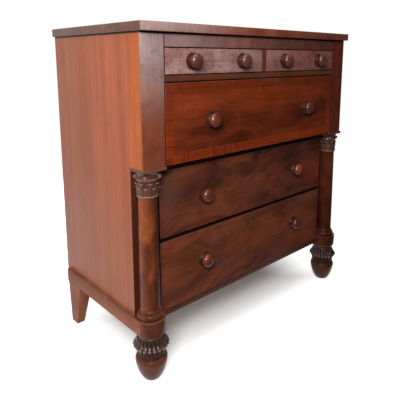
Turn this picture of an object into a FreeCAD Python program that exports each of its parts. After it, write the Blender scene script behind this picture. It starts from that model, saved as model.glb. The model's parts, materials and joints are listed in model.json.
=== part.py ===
"""A butler desk: two small drawers over a desk drawer with a hinged fall, and two long drawers between columns.

Millimetres, +X to the right, +Y to the back, +Z up. The origin is on the floor, under the middle of the desk.
"""
import FreeCAD
import Part
import Sketcher
import os
import re

doc = FreeCAD.newDocument("ButlerDesk")

# Driving sizes, one sheet cell each
SIZES = {
    # Case and top
    "case_height": 1180,
    "case_width": 1116,
    "case_depth": 558,
    "top_side_overhang": 7,
    "top_thickness": 28,
    "top_front_overhang": 17,
    "top_back_overhang": 5,
    "side_thickness": 22,
    "back_thickness": 12,
    "back_board_gap": 2,
    "back_bottom_gap": 9,
    # Upper stage
    "fall_opening_height": 265,
    "post_width": 89,
    "post_depth": 68,
    "top_rail_height": 45,
    "top_rail_thickness": 24,
    "small_opening_height": 85,
    "drawer_rail_height": 21,
    "divider_width": 17,
    "upper_dust_thickness": 14,
    # Lower stage
    "base_height": 228,
    "plinth_height": 51,
    "plinth_outset": 11.5,
    "plinth_back_inset": 18,
    "base_rail_height": 42,
    "base_rail_thickness": 18,
    "bottom_board_thickness": 16,
    "waist_board_thickness": 20,
    "lower_dust_thickness": 20,
    "stile_thickness": 22,
    "lower_setback": 41,
    "overlay_clearance": 1,
    "lower_front_lap": 26,
    "lower_front_gap": 12,
    "lower_bottom_gap": 1.5,
    "lower_top_gap": 24.5,
    "guide_height": 30,
    # Columns
    "column_inset": 41,
    "column_setback": 35,
    "column_side_gap": 15.5,
    "shaft_bottom_radius": 34,
    "shaft_top_radius": 31.6,
    "column_torus_radius": 45.5,
    "column_torus_height": 18,
    "column_ring_radius": 38.5,
    "column_ring_height": 9,
    "column_cove_height": 6,
    "tenon_radius": 13,
    "tenon_length": 20,
    "tenon_clearance": 0.2,
    # Capitals
    "capital_height": 83,
    "abacus_thickness": 11,
    "abacus_overhang": 3,
    "astragal_radius": 36,
    "astragal_height": 9,
    "bell_bottom_radius": 32,
    "bell_top_radius": 36,
    "bell_hollow": 1.5,
    "bell_lip_radius": 38,
    "bell_lip_height": 6,
    "leaf_count": 8,
    "leaf_reach": 32,
    "leaf_rise": 38,
    "leaf_half_height": 28,
    "leaf_half_depth": 8,
    "leaf_half_width": 12,
    "scroll_count": 4,
    "scroll_reach": 37,
    "scroll_radius": 8.5,
    "scroll_drop": 1.5,
    # Front feet
    "foot_tip_radius": 24,
    "foot_waist_radius": 44.5,
    "foot_waist_height": 32,
    "foot_belly_radius": 53.5,
    "foot_belly_height": 69,
    "foot_ridge_radius": 50.5,
    "foot_ridge_height": 88,
    "foot_cup_radius": 45,
    "foot_ridge_step": 4,
    "collar_height": 56,
    "collar_core_radius": 52,
    "petal_count": 22,
    "petal_half_height": 27,
    "petal_half_depth": 11,
    "petal_half_width": 9.5,
    "neck_radius": 43,
    "neck_bulge": 2.5,
    "neck_height": 8,
    "foot_flare_radius": 50,
    "foot_flare_height": 8,
    # Back feet
    "back_foot_depth": 92,
    "back_foot_width": 57,
    "back_foot_tip_depth": 46,
    "back_foot_tip_width": 31.5,
    "back_foot_lean": 6,
    "back_foot_inset": 6,
    # Drawers
    "front_gap": 1.2,
    "slide_clearance": 0.5,
    "guide_clearance": 1,
    "small_front_thickness": 20,
    "drawer_side_thickness": 11,
    "drawer_back_thickness": 10,
    "drawer_bottom_thickness": 7,
    "groove_depth": 4,
    "groove_clearance": 0.2,
    "groove_height": 6,
    "side_drop": 8,
    "small_back_gap": 46,
    "lower_back_gap": 39,
    "dovetail_lap": 6,
    "tail_wide": 18,
    "tail_narrow": 13,
    "tongue_length": 10,
    "tongue_wide": 9,
    "tongue_narrow": 6,
    # Desk drawer and its fall
    "fall_thickness": 22,
    "fall_back_gap": 0.5,
    "desk_floor_thickness": 16,
    "desk_side_thickness": 14,
    "desk_back_thickness": 12,
    "desk_back_gap": 33.5,
    "desk_side_drop": 15,
    "gallery_depth": 215,
    "gallery_headroom": 38.8,
    "gallery_board": 8,
    "gallery_clearance": 0.5,
    "inner_row_height": 74,
    "inner_front_thickness": 9,
    "inner_side_thickness": 6,
    "inner_bottom_thickness": 5,
    "inner_gap": 0.8,
    "inner_back_gap": 25,
    "inner_knob_radius": 8,
    "inner_knob_neck": 4,
    "inner_knob_flange": 6,
    "inner_knob_projection": 16,
    "inner_knob_neck_height": 4,
    "inner_knob_widest": 10,
    "inner_knob_rim": 3.5,
    "inner_knob_round": 1.5,
    # Fall hinges and quadrant stays
    "leaf_width": 20,
    "leaf_thickness": 2.5,
    "leaf_length": 70,
    "knuckle_radius": 4,
    "knuckle_width": 6,
    "knuckle_gap": 0.3,
    "knuckle_relief": 0.4,
    "hinge_pin_radius": 1.8,
    "hinge_pin_clearance": 0.05,
    "stay_radius": 155,
    "stay_band": 9,
    "stay_thickness": 2.5,
    "stay_side_gap": 2,
    "stay_angle": 88,
    # Locks
    "lock_width": 60,
    "lock_height": 40,
    "lock_thickness": 12,
    "lock_board_gap": 1.5,
    "bolt_width": 16,
    "bolt_thickness": 5,
    "bolt_length": 26,
    "bolt_setback": 8,
    "bolt_clearance": 0.3,
    "bolt_travel": 8,
    "mortise_clearance": 1,
    "keyhole_drop": 28,
    "keyhole_radius": 3.6,
    "keyhole_slot_width": 4,
    "keyhole_slot_length": 12,
    # Turned knobs
    "knob_projection": 36,
    "knob_flange_radius": 27.5,
    "knob_flange_height": 5,
    "knob_ring_radius": 21.5,
    "knob_ring_height": 4,
    "knob_bead_radius": 18,
    "knob_bead_height": 3,
    "knob_neck_radius": 13,
    "knob_neck_height": 4,
    "knob_head_radius": 25,
    "knob_rim_radius": 11,
    "knob_shank_radius": 8,
    "knob_shank_clearance": 0.2,
    "small_knob_spacing": 234,
    "fall_knob_spacing": 546,
    "lower_knob_spacing": 538,
}

# Measures that follow from the driving sizes
DERIVED = {
    "front_y": "(knob_projection - case_depth - top_back_overhang) / 2",
    "case_front_y": "front_y + post_depth",
    "back_y": "front_y + case_depth",
    "back_inner_y": "back_y - back_thickness",
    "half_width": "case_width / 2",
    "top_half_width": "half_width + top_side_overhang",
    "side_inner": "half_width - side_thickness",
    "post_inner": "half_width - post_width",
    "case_top": "case_height - top_thickness",
    "top_rail_bottom": "case_top - top_rail_height",
    "small_floor": "top_rail_bottom - small_opening_height",
    "drawer_rail_bottom": "small_floor - drawer_rail_height",
    "waist_height": "drawer_rail_bottom - fall_opening_height",
    "hinge_height": "waist_height + front_gap",
    "hinge_y": "front_y + fall_thickness",
    "desk_bottom": "hinge_height - desk_floor_thickness",
    "waist_board_top": "desk_bottom - slide_clearance",
    "waist_board_bottom": "waist_board_top - waist_board_thickness",
    "column_x": "half_width - column_inset",
    "column_y": "front_y + column_setback",
    "block_radius": "column_inset + plinth_outset",
    "foot_height": "base_height - plinth_height",
    "lower_half": "column_x - shaft_bottom_radius - column_side_gap",
    "stile_inner": "lower_half - lower_front_lap",
    "lower_face_y": "front_y + lower_setback",
    "lower_back_y": "case_front_y - overlay_clearance",
    "lower_front_thickness": "lower_back_y - lower_face_y",
    "lower_stack": "waist_height - lower_top_gap - base_height - lower_bottom_gap",
    "lower_front_height": "(lower_stack - lower_front_gap) / 2",
    "bottom_front_z": "base_height + lower_bottom_gap",
    "bottom_foot_z": "base_height - bottom_board_thickness + lower_bottom_gap",
    "middle_front_z": "bottom_front_z + lower_front_height + lower_front_gap",
    "lower_dust_top": "middle_front_z - lower_front_gap / 2 + lower_dust_thickness / 2",
    "lower_dust_bottom": "lower_dust_top - lower_dust_thickness",
    "tenon_bore": "tenon_radius + tenon_clearance",
    "column_height": "waist_height - abacus_thickness - capital_height - base_height",
    "capital_z": "base_height + column_height",
    "desk_outer": "post_inner - front_gap",
    "desk_inner": "desk_outer - desk_side_thickness",
    "desk_front_y": "hinge_y + fall_back_gap",
    "desk_back_y": "back_inner_y - desk_back_gap",
    "desk_side_top": "drawer_rail_bottom - desk_side_drop",
    "gallery_half": "desk_inner - gallery_clearance",
    "gallery_back_y": "desk_back_y - desk_back_thickness",
    "gallery_front_y": "gallery_back_y - gallery_depth",
    "gallery_top": "drawer_rail_bottom - gallery_headroom",
    "shelf_z": "hinge_height + inner_row_height",
    "fall_top": "drawer_rail_bottom - front_gap",
    "stay_outer": "desk_inner - stay_side_gap",
    "leaf_outer": "stay_outer",
    "leaf_inner": "leaf_outer - leaf_width",
}


def formula(text):
    """The text with each derived measure opened up and each driving size read from the sheet."""

    def swap(found):
        word = found.group(0)
        if word in DERIVED:
            return "(" + formula(DERIVED[word]) + ")"
        if word in SIZES:
            return "Sizes." + word
        return word

    return re.sub(r"[A-Za-z_][A-Za-z_0-9]*", swap, text)


# The sheet of driving sizes
sheet = doc.addObject("Spreadsheet::Sheet", "Sizes")
for row, (alias, value) in enumerate(SIZES.items(), start=1):
    sheet.set("A%d" % row, alias)
    sheet.set("B%d" % row, str(value))
    sheet.setAlias("B%d" % row, alias)
doc.recompute()

PARTS = []


def measure(text):
    """The number that a formula has now."""
    return float(sheet.evalExpression(formula(text)))


def bind(thing, name, text):
    """Tie one property of an object to the sheet."""
    thing.setExpression(name, formula(text))


def stand(thing, base):
    """Tie an object's position to the sheet."""
    for axis, text in zip("xyz", base):
        bind(thing, "Placement.Base." + axis, text)


def block(name, across, along, up):
    """A board between two planes in x, in y and in z, each given by a pair of formulas."""
    board = doc.addObject("Part::Box", name)
    for axis, side, pair in zip("xyz", ("Length", "Width", "Height"), (across, along, up)):
        bind(board, "Placement.Base." + axis, pair[0])
        bind(board, side, "(%s) - (%s)" % (pair[1], pair[0]))
    return board


def rod(name, radius, length, base, turn):
    """A cylinder that starts at a point and runs along its turned axis."""
    cylinder = doc.addObject("Part::Cylinder", name)
    bind(cylinder, "Radius", radius)
    bind(cylinder, "Height", length)
    cylinder.Placement.Rotation = turn
    stand(cylinder, base)
    return cylinder


def taper(name, low, high, along):
    """A block that tapers along y: low and high are its x and z pairs at the two ends."""
    wedge = doc.addObject("Part::Wedge", name)
    bind(wedge, "Ymin", along[0])
    bind(wedge, "Ymax", along[1])
    for axis, ends in zip("XZ", zip(low, high)):
        bind(wedge, axis + "min", ends[0][0])
        bind(wedge, axis + "max", ends[0][1])
        bind(wedge, axis + "2min", ends[1][0])
        bind(wedge, axis + "2max", ends[1][1])
    return wedge


def group(name, members):
    """Several separate solids under one name."""
    together = doc.addObject("Part::Compound", name)
    together.Links = members
    return together


def fuse(name, members):
    """Several solids joined into one."""
    joined = doc.addObject("Part::MultiFuse", name)
    joined.Shapes = members
    return joined


def cut(name, base, tools):
    """A solid with tools taken away from it."""
    tool = tools[0]
    if len(tools) > 1:
        tool = fuse(name + "_tools", tools)
    result = doc.addObject("Part::Cut", name)
    result.Base = base
    result.Tool = tool
    return result


def part(label, thing):
    """Name a finished piece of the desk."""
    thing.Label = label
    PARTS.append(thing)
    return thing


def mirrored(sign, near, far):
    """A pair of planes at near and far from the middle, on the right (+1) or the left (-1)."""
    if sign > 0:
        return (near, far)
    return ("-(%s)" % far, "-(%s)" % near)


def centred(half):
    """A pair of planes on both sides of the middle."""
    return ("-(%s)" % half, half)


UPRIGHT = FreeCAD.Rotation()
FORWARD = FreeCAD.Rotation(FreeCAD.Vector(1, 0, 0), 90)
SIDEWAYS = FreeCAD.Rotation(FreeCAD.Vector(0, 1, 0), 90)
QUADRANT = FreeCAD.Rotation(FreeCAD.Vector(0, 1, 0), -90)
SIDES = (("left", -1), ("right", 1))


def origin_feature(body, role):
    """A plane or axis of a body's own origin."""
    for feature in body.Origin.OriginFeatures:
        if feature.Role == role:
            return feature
    raise ValueError(role)


def pin_point(sketch, geometry, end, across, up):
    """Hold a point of a sketch at its distances from the two axes."""
    for kind, axis, text in (("DistanceX", -2, across), ("DistanceY", -1, up)):
        if text == "0":
            sketch.addConstraint(Sketcher.Constraint("PointOnObject", geometry, end, axis))
        else:
            rule = Sketcher.Constraint(kind, -1, 1, geometry, end, measure(text))
            number = sketch.addConstraint(rule)
            bind(sketch, "Constraints[%d]" % number, text)


def ends_of(sketch, geometry, start):
    """Which end of an edge is at a point, and which is the other."""
    if sketch.getPoint(geometry, 1).distanceToPoint(start) < sketch.getPoint(geometry, 2).distanceToPoint(start):
        return 1, 2
    return 2, 1


def turned(name, outline, base, turn=UPRIGHT):
    """A turned body. Each step of the outline is a radius and a height, reached by a straight edge,
    or by an arc when the radius and height of a point on that arc follow."""
    body = doc.addObject("PartDesign::Body", name)
    sketch = body.newObject("Sketcher::SketchObject", name + "_profile")
    sketch.AttachmentSupport = [(origin_feature(body, "XZ_Plane"), "")]
    sketch.MapMode = "FlatFace"
    corners = [FreeCAD.Vector(measure(step[0]), measure(step[1]), 0) for step in outline]
    ends = []
    for index, step in enumerate(outline):
        edge = Part.LineSegment(corners[index - 1], corners[index])
        if len(step) == 4:
            through = FreeCAD.Vector(measure(step[2]), measure(step[3]), 0)
            edge = Part.Arc(corners[index - 1], through, corners[index])
        number = sketch.addGeometry(edge, False)
        ends.append(ends_of(sketch, number, corners[index - 1]))
    for index, step in enumerate(outline):
        following = (index + 1) % len(outline)
        joint = Sketcher.Constraint("Coincident", index, ends[index][1], following, ends[following][0])
        sketch.addConstraint(joint)
        pin_point(sketch, index, ends[index][1], step[0], step[1])
    for index, step in enumerate(outline):
        if len(step) == 4:
            spot = FreeCAD.Vector(measure(step[2]), measure(step[3]), 0)
            mark = sketch.addGeometry(Part.Point(spot), True)
            sketch.addConstraint(Sketcher.Constraint("PointOnObject", mark, 1, index))
            pin_point(sketch, mark, 1, step[2], step[3])
    turning = body.newObject("PartDesign::Revolution", name + "_turning")
    turning.Profile = sketch
    turning.ReferenceAxis = (sketch, ["V_Axis"])
    turning.Angle = 360
    body.Placement.Rotation = turn
    stand(body, base)
    doc.recompute()
    return body


def carve(body, name, radii, spot, count):
    """Carved swellings around a turned body, each a half-sunk ellipsoid."""
    swelling = body.newObject("PartDesign::AdditiveEllipsoid", name)
    for number, radius in enumerate(radii, start=1):
        bind(swelling, "Radius%d" % number, radius)
    stand(swelling, spot)
    doc.recompute()
    ring = body.newObject("PartDesign::PolarPattern", name + "_ring")
    ring.Originals = [swelling]
    ring.Axis = (origin_feature(body, "Z_Axis"), [""])
    ring.Angle = 360
    bind(ring, "Occurrences", count)
    body.Tip = ring
    doc.recompute()


# Top board
part("top_board", block(
    "TopBoard", centred("top_half_width"),
    ("front_y - top_front_overhang", "back_y + top_back_overhang"), ("case_top", "case_height")))

# Sides, posts, stiles and plinth strips
stiles = []
plinths = []
for side, sign in SIDES:
    part(side + "_side", block(
        side + "Side", mirrored(sign, "side_inner", "half_width"),
        ("case_front_y", "back_y"), ("foot_height", "case_top")))
    part(side + "_post", block(
        side + "Post", mirrored(sign, "post_inner", "half_width"),
        ("front_y", "case_front_y"), ("waist_height", "case_top")))
    stiles.append(block(
        side + "Stile", mirrored(sign, "stile_inner", "side_inner"),
        ("case_front_y", "case_front_y + stile_thickness"), ("base_height", "waist_board_bottom")))
    plinths.append(block(
        side + "Plinth", mirrored(sign, "half_width", "half_width + plinth_outset"),
        ("case_front_y", "back_y - plinth_back_inset"), ("foot_height", "base_height")))
part("stiles", group("Stiles", stiles))
part("side_plinths", group("SidePlinths", plinths))

# Back boards, laid across between the sides
BACK_BOARDS = 4
boards = []
board_pitch = "((case_top - foot_height - back_bottom_gap + back_board_gap) / %d)" % BACK_BOARDS
for number in range(BACK_BOARDS):
    low = "foot_height + back_bottom_gap + %d * %s" % (number, board_pitch)
    boards.append(block(
        "BackBoard%d" % number, centred("side_inner"), ("back_inner_y", "back_y"),
        (low, "%s + %s - back_board_gap" % (low, board_pitch))))
part("back_boards", group("BackBoards", boards))

# Rails and boards across the case
INSIDE_DEPTH = ("case_front_y", "back_inner_y")
part("top_rail", block(
    "TopRail", centred("post_inner"), ("front_y", "front_y + top_rail_thickness"),
    ("top_rail_bottom", "case_top")))
part("drawer_divider", block(
    "DrawerDivider", centred("divider_width / 2"), ("front_y", "case_front_y"),
    ("small_floor", "top_rail_bottom")))
part("upper_dust_board", block(
    "UpperDustBoard", centred("side_inner"), INSIDE_DEPTH,
    ("small_floor - upper_dust_thickness", "small_floor")))
part("bottom_board", block(
    "BottomBoard", centred("side_inner"), INSIDE_DEPTH,
    ("base_height - bottom_board_thickness", "base_height")))
part("base_rail", block(
    "BaseRail", centred("column_x - block_radius"),
    ("case_front_y - base_rail_thickness", "case_front_y + base_rail_thickness"),
    ("base_height - base_rail_height", "base_height - bottom_board_thickness")))


def mortise(name, middle_y, low):
    """The pocket over a lock bolt, in the underside of the board above it."""
    return block(
        name, centred("bolt_width / 2 + mortise_clearance"),
        ("%s - bolt_thickness / 2 - mortise_clearance" % middle_y,
         "%s + bolt_thickness / 2 + mortise_clearance" % middle_y),
        (low, "%s + bolt_travel + mortise_clearance" % low))


FALL_LOCK_Y = "hinge_y - lock_thickness"
LOWER_LOCK_Y = "lower_back_y"
drawer_rail = block(
    "DrawerRailBlank", centred("post_inner"), ("front_y", "case_front_y"), ("drawer_rail_bottom", "small_floor"))
part("drawer_rail", cut(
    "DrawerRail", drawer_rail, [mortise("FallMortise", FALL_LOCK_Y + " + bolt_setback", "drawer_rail_bottom")]))
waist_board = block(
    "WaistBoardBlank", centred("side_inner"), INSIDE_DEPTH, ("waist_board_bottom", "waist_board_top"))
part("waist_board", cut(
    "WaistBoard", waist_board,
    [mortise("MiddleMortise", LOWER_LOCK_Y + " + bolt_setback", "waist_board_bottom")]))
lower_dust = block(
    "LowerDustBlank", centred("side_inner"), INSIDE_DEPTH, ("lower_dust_bottom", "lower_dust_top"))
notches = [mortise("BottomMortise", LOWER_LOCK_Y + " + bolt_setback", "lower_dust_bottom")]
for side, sign in SIDES:
    notches.append(block(
        side + "StileNotch", mirrored(sign, "stile_inner", "side_inner"),
        ("case_front_y", "case_front_y + stile_thickness"), ("lower_dust_bottom", "lower_dust_top")))
part("lower_dust_board", cut("LowerDustBoard", lower_dust, notches))

# Guides that keep the drawers square
guides = [block(
    "MiddleGuide", centred("divider_width / 2"), INSIDE_DEPTH, ("small_floor", "small_floor + guide_height"))]
GUIDE_RUNS = (
    ("Small", "post_inner", "case_front_y", "small_floor"),
    ("Desk", "post_inner", "case_front_y", "waist_board_top"),
    ("Middle", "stile_inner", "case_front_y + stile_thickness", "lower_dust_top"),
    ("Bottom", "stile_inner", "case_front_y + stile_thickness", "base_height"),
)
for side, sign in SIDES:
    for run, inner, start, floor in GUIDE_RUNS:
        guides.append(block(
            side + run + "Guide", mirrored(sign, inner, "side_inner"),
            (start, "back_inner_y"), (floor, floor + " + guide_height")))
part("drawer_guides", group("DrawerGuides", guides))

# Plinth blocks, columns, capitals and feet
CUP_TOP = "foot_height - foot_flare_height - neck_height - collar_height"
COLLAR_TOP = "foot_height - foot_flare_height - neck_height"
for side, sign in SIDES:
    axis_x = "%d * column_x" % sign
    drum = rod(side + "Drum", "block_radius", "plinth_height", (axis_x, "column_y", "foot_height"), UPRIGHT)
    heel = block(
        side + "Heel", (axis_x + " - block_radius", axis_x + " + block_radius"),
        ("column_y", "case_front_y"), ("foot_height", "base_height"))
    bore = rod(side + "BlockBore", "tenon_bore", "plinth_height", (axis_x, "column_y", "foot_height"), UPRIGHT)
    behind = block(
        side + "BlockBack", (axis_x + " - block_radius", axis_x + " + block_radius"),
        ("case_front_y", "case_front_y + block_radius"), ("foot_height", "base_height"))
    part(side + "_plinth_block", cut(side + "PlinthBlock", fuse(side + "Block", [drum, heel]), [bore, behind]))

    torus_top = "tenon_length + column_torus_height"
    ring_top = torus_top + " + column_ring_height"
    shaft_top = "tenon_length + column_height"
    shaft = turned(side + "Shaft", [
        ("0", "0"),
        ("tenon_radius", "0"),
        ("tenon_radius", "tenon_length"),
        ("column_torus_radius - column_torus_height / 2", "tenon_length"),
        ("column_torus_radius - column_torus_height / 2", torus_top,
         "column_torus_radius", "tenon_length + column_torus_height / 2"),
        ("column_ring_radius", torus_top),
        ("column_ring_radius", ring_top),
        ("shaft_bottom_radius", ring_top + " + column_cove_height"),
        ("shaft_top_radius", shaft_top),
        ("tenon_radius", shaft_top),
        ("tenon_radius", shaft_top + " + tenon_length"),
        ("0", shaft_top + " + tenon_length"),
    ], (axis_x, "column_y", "base_height - tenon_length"))
    behind = block(
        side + "ColumnBack", (axis_x + " - column_torus_radius", axis_x + " + column_torus_radius"),
        ("case_front_y", "case_front_y + column_torus_radius"), ("base_height", "capital_z"))
    part(side + "_column", cut(side + "Column", shaft, [behind]))

    bell_top = "capital_height - bell_lip_height"
    bell = turned(side + "Bell", [
        ("tenon_bore", "0"),
        ("astragal_radius - astragal_height / 2", "0"),
        ("astragal_radius - astragal_height / 2", "astragal_height", "astragal_radius", "astragal_height / 2"),
        ("bell_bottom_radius", "astragal_height"),
        ("bell_top_radius", bell_top,
         "(bell_bottom_radius + bell_top_radius) / 2 - bell_hollow", "(astragal_height + %s) / 2" % bell_top),
        ("bell_lip_radius", bell_top),
        ("bell_lip_radius", "capital_height"),
        ("0", "capital_height"),
        ("0", "tenon_length + tenon_clearance"),
        ("tenon_bore", "tenon_length + tenon_clearance"),
    ], (axis_x, "column_y", "capital_z"))
    carve(bell, side + "Leaf", ("leaf_half_height", "leaf_half_depth", "leaf_half_width"),
          ("leaf_reach", "0", "leaf_rise"), "leaf_count")
    carve(bell, side + "Scroll", ("scroll_radius", "scroll_radius", "scroll_radius"),
          ("scroll_reach / sqrt(2)", "scroll_reach / sqrt(2)",
           "capital_height - scroll_drop - scroll_radius"), "scroll_count")
    scrolls = "scroll_reach + scroll_radius"
    behind = block(
        side + "CapitalBack", ("%s - (%s)" % (axis_x, scrolls), "%s + %s" % (axis_x, scrolls)),
        ("case_front_y", "case_front_y + " + scrolls), ("capital_z", "capital_z + capital_height"))
    abacus = block(
        side + "Abacus", mirrored(sign, "post_inner", "half_width + abacus_overhang"),
        ("front_y - abacus_overhang", "case_front_y"), ("waist_height - abacus_thickness", "waist_height"))
    part(side + "_capital", group(side + "Capital", [cut(side + "CapitalBell", bell, [behind]), abacus]))

    foot = turned(side + "Foot", [
        ("0", "0"),
        ("foot_tip_radius", "0"),
        ("foot_belly_radius", "foot_belly_height", "foot_waist_radius", "foot_waist_height"),
        ("foot_ridge_radius", "foot_ridge_height"),
        ("foot_ridge_radius - foot_ridge_step", "foot_ridge_height"),
        ("foot_cup_radius", CUP_TOP),
        ("collar_core_radius", CUP_TOP + " + collar_height / 4"),
        ("collar_core_radius", CUP_TOP + " + collar_height / 2"),
        ("neck_radius", COLLAR_TOP),
        ("neck_radius", COLLAR_TOP + " + neck_height",
         "neck_radius + neck_bulge", COLLAR_TOP + " + neck_height / 2"),
        ("foot_flare_radius", "foot_height"),
        ("tenon_radius", "foot_height"),
        ("tenon_radius", "foot_height + tenon_length"),
        ("0", "foot_height + tenon_length"),
    ], (axis_x, "column_y", "0"))
    carve(foot, side + "Petal", ("petal_half_height", "petal_half_depth", "petal_half_width"),
          ("collar_core_radius", "0", CUP_TOP + " + collar_height / 2"), "petal_count")
    part(side + "_front_foot", foot)

    outer = "half_width + plinth_outset"
    back_edge = "back_y - plinth_back_inset - back_foot_inset"
    back_foot = taper(
        side + "BackFoot",
        (mirrored(sign, "%s - back_foot_lean - back_foot_tip_width" % outer, outer + " - back_foot_lean"),
         ("-(%s)" % back_edge, "-(%s - back_foot_tip_depth)" % back_edge)),
        (mirrored(sign, outer + " - back_foot_width", outer),
         ("-(%s)" % back_edge, "-(%s - back_foot_depth)" % back_edge)),
        ("0", "foot_height"))
    back_foot.Placement.Rotation = FORWARD
    part(side + "_back_foot", back_foot)


def dome(radius, height, end):
    """The outline step of a round cap that ends on the axis, as part of a ball."""
    ball = "((%s ^ 2 + %s ^ 2) / (2 * %s))" % (radius, height, height)
    return ("0", end, radius + " / 2", "%s - %s + sqrt(%s ^ 2 - %s ^ 2 / 4)" % (end, ball, ball, radius))


def knob(name, shank, spot):
    """A turned wooden knob whose shank fills a hole through a drawer front."""
    flange = shank + " + knob_flange_height"
    ring = flange + " + knob_ring_height"
    bead = ring + " + knob_bead_height"
    neck = bead + " + knob_neck_height"
    end = shank + " + knob_projection"
    widest = "((%s + %s) / 2)" % (neck, end)
    cap_radius = "(knob_head_radius - knob_rim_radius * (1 - sqrt(0.5)))"
    cap_base = "%s + knob_rim_radius * sqrt(0.5)" % widest
    return turned(name, [
        ("0", "0"),
        ("knob_shank_radius", "0"),
        ("knob_shank_radius", shank),
        ("knob_flange_radius", shank),
        ("knob_flange_radius", flange),
        ("knob_ring_radius", flange),
        ("knob_ring_radius", ring),
        ("knob_bead_radius", ring),
        ("knob_bead_radius", bead),
        ("knob_neck_radius", bead),
        ("knob_neck_radius", neck),
        ("knob_head_radius - knob_rim_radius / 2", "%s - knob_rim_radius * sqrt(0.75)" % widest),
        (cap_radius, cap_base, "knob_head_radius", widest),
        dome(cap_radius, "(%s - (%s))" % (end, cap_base), end),
    ], spot, FORWARD)


def knob_hole(name, shank, spot):
    """The hole that a knob's shank passes through."""
    return rod(name, "knob_shank_radius + knob_shank_clearance", shank, spot, FORWARD)


def keyhole(name, along, height):
    """A keyhole right through a front: a round with a slot under it."""
    eye = rod(
        name + "Eye", "keyhole_radius", "(%s) - (%s)" % (along[1], along[0]), ("0", along[1], height), FORWARD)
    slot = block(
        name + "Slot", centred("keyhole_slot_width / 2"), along,
        ("%s - keyhole_slot_length" % height, height))
    return [eye, slot]


def lock_and_bolt(name, wood_face, top):
    """A drawer lock with a bolt that rises out of it. The wood face is the plane that it is fixed against."""
    case = block(
        name + "Case", centred("lock_width / 2"), (wood_face, wood_face + " + lock_thickness"),
        (top + " - lock_height", top))
    middle = wood_face + " + bolt_setback"
    channel = block(
        name + "Channel", centred("bolt_width / 2 + bolt_clearance"),
        (middle + " - bolt_thickness / 2 - bolt_clearance", middle + " + bolt_thickness / 2 + bolt_clearance"),
        (top + " - bolt_length - bolt_clearance", top))
    bolt = block(
        name + "Bolt", centred("bolt_width / 2"),
        (middle + " - bolt_thickness / 2", middle + " + bolt_thickness / 2"),
        (top + " - bolt_length", top + " - bolt_clearance"))
    part(name + "_lock", cut(name + "Lock", case, [channel]))
    part(name + "_bolt", bolt)


# Small drawers, dovetailed at the front
SMALL_TAILS = 3
SMALL_Z = ("small_floor + slide_clearance", "top_rail_bottom - side_drop")
for side, sign in SIDES:
    name = side + "_small_drawer"
    inner_end = "divider_width / 2 + front_gap"
    outer_end = "post_inner - front_gap"
    inner_face = "front_y + small_front_thickness"
    back_face = "back_inner_y - small_back_gap"
    panel_low = SMALL_Z[0] + " + groove_height"
    panel_high = panel_low + " + drawer_bottom_thickness"
    panel_inset = "drawer_side_thickness - groove_depth"
    panel = block(
        name + "Panel",
        mirrored(sign, "%s + %s + groove_clearance" % (inner_end, panel_inset),
                 "%s - (%s) - groove_clearance" % (outer_end, panel_inset)),
        (inner_face + " - groove_depth + groove_clearance", back_face),
        (panel_low + " + groove_clearance", panel_high + " - groove_clearance"))
    part(name + "_bottom", panel)
    groove = block(
        name + "Groove",
        mirrored(sign, "%s + %s" % (inner_end, panel_inset), "%s - (%s)" % (outer_end, panel_inset)),
        (inner_face + " - groove_depth", back_face), (panel_low, panel_high))

    box_sides = []
    sockets = []
    for end, span in (("Inner", (inner_end, inner_end + " + drawer_side_thickness")),
                      ("Outer", (outer_end + " - drawer_side_thickness", outer_end))):
        span = mirrored(sign, span[0], span[1])
        cheek = block(name + end + "Cheek", span, (inner_face, back_face), SMALL_Z)
        pitch = "((%s - (%s)) / %d)" % (SMALL_Z[1], SMALL_Z[0], SMALL_TAILS)
        tails = []
        for number in range(SMALL_TAILS):
            middle = "%s + %s * %s" % (SMALL_Z[0], number + 0.5, pitch)
            tails.append(taper(
                "%s%sTail%d" % (name, end, number),
                (span, (middle + " - tail_wide / 2", middle + " + tail_wide / 2")),
                (span, (middle + " - tail_narrow / 2", middle + " + tail_narrow / 2")),
                ("front_y + dovetail_lap", inner_face)))
        sockets.extend(tails)
        box_sides.append(cut(name + end + "Side", fuse(name + end + "Tailed", [cheek] + tails), [groove]))
    back = block(
        name + "Back",
        mirrored(sign, inner_end + " + drawer_side_thickness", outer_end + " - drawer_side_thickness"),
        (back_face + " - drawer_back_thickness", back_face), (panel_high, SMALL_Z[1]))
    part(name + "_box", group(name + "Box", box_sides + [back]))

    middle_x = "%d * (%s + %s) / 2" % (sign, inner_end, outer_end)
    middle_z = "(small_floor + top_rail_bottom) / 2"
    knobs = []
    holes = []
    for number, offset in enumerate((-1, 1)):
        spot = ("%s + %d * small_knob_spacing / 2" % (middle_x, offset), inner_face, middle_z)
        knobs.append(knob("%sKnob%d" % (name, number), "small_front_thickness", spot))
        holes.append(knob_hole("%sHole%d" % (name, number), "small_front_thickness", spot))
    part(name + "_knobs", group(name + "Knobs", knobs))
    blank = block(
        name + "Blank", mirrored(sign, inner_end, outer_end), ("front_y", inner_face),
        ("small_floor + front_gap", "top_rail_bottom - front_gap"))
    part(name + "_front", cut(name + "Front", blank, sockets + [groove] + holes))

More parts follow.
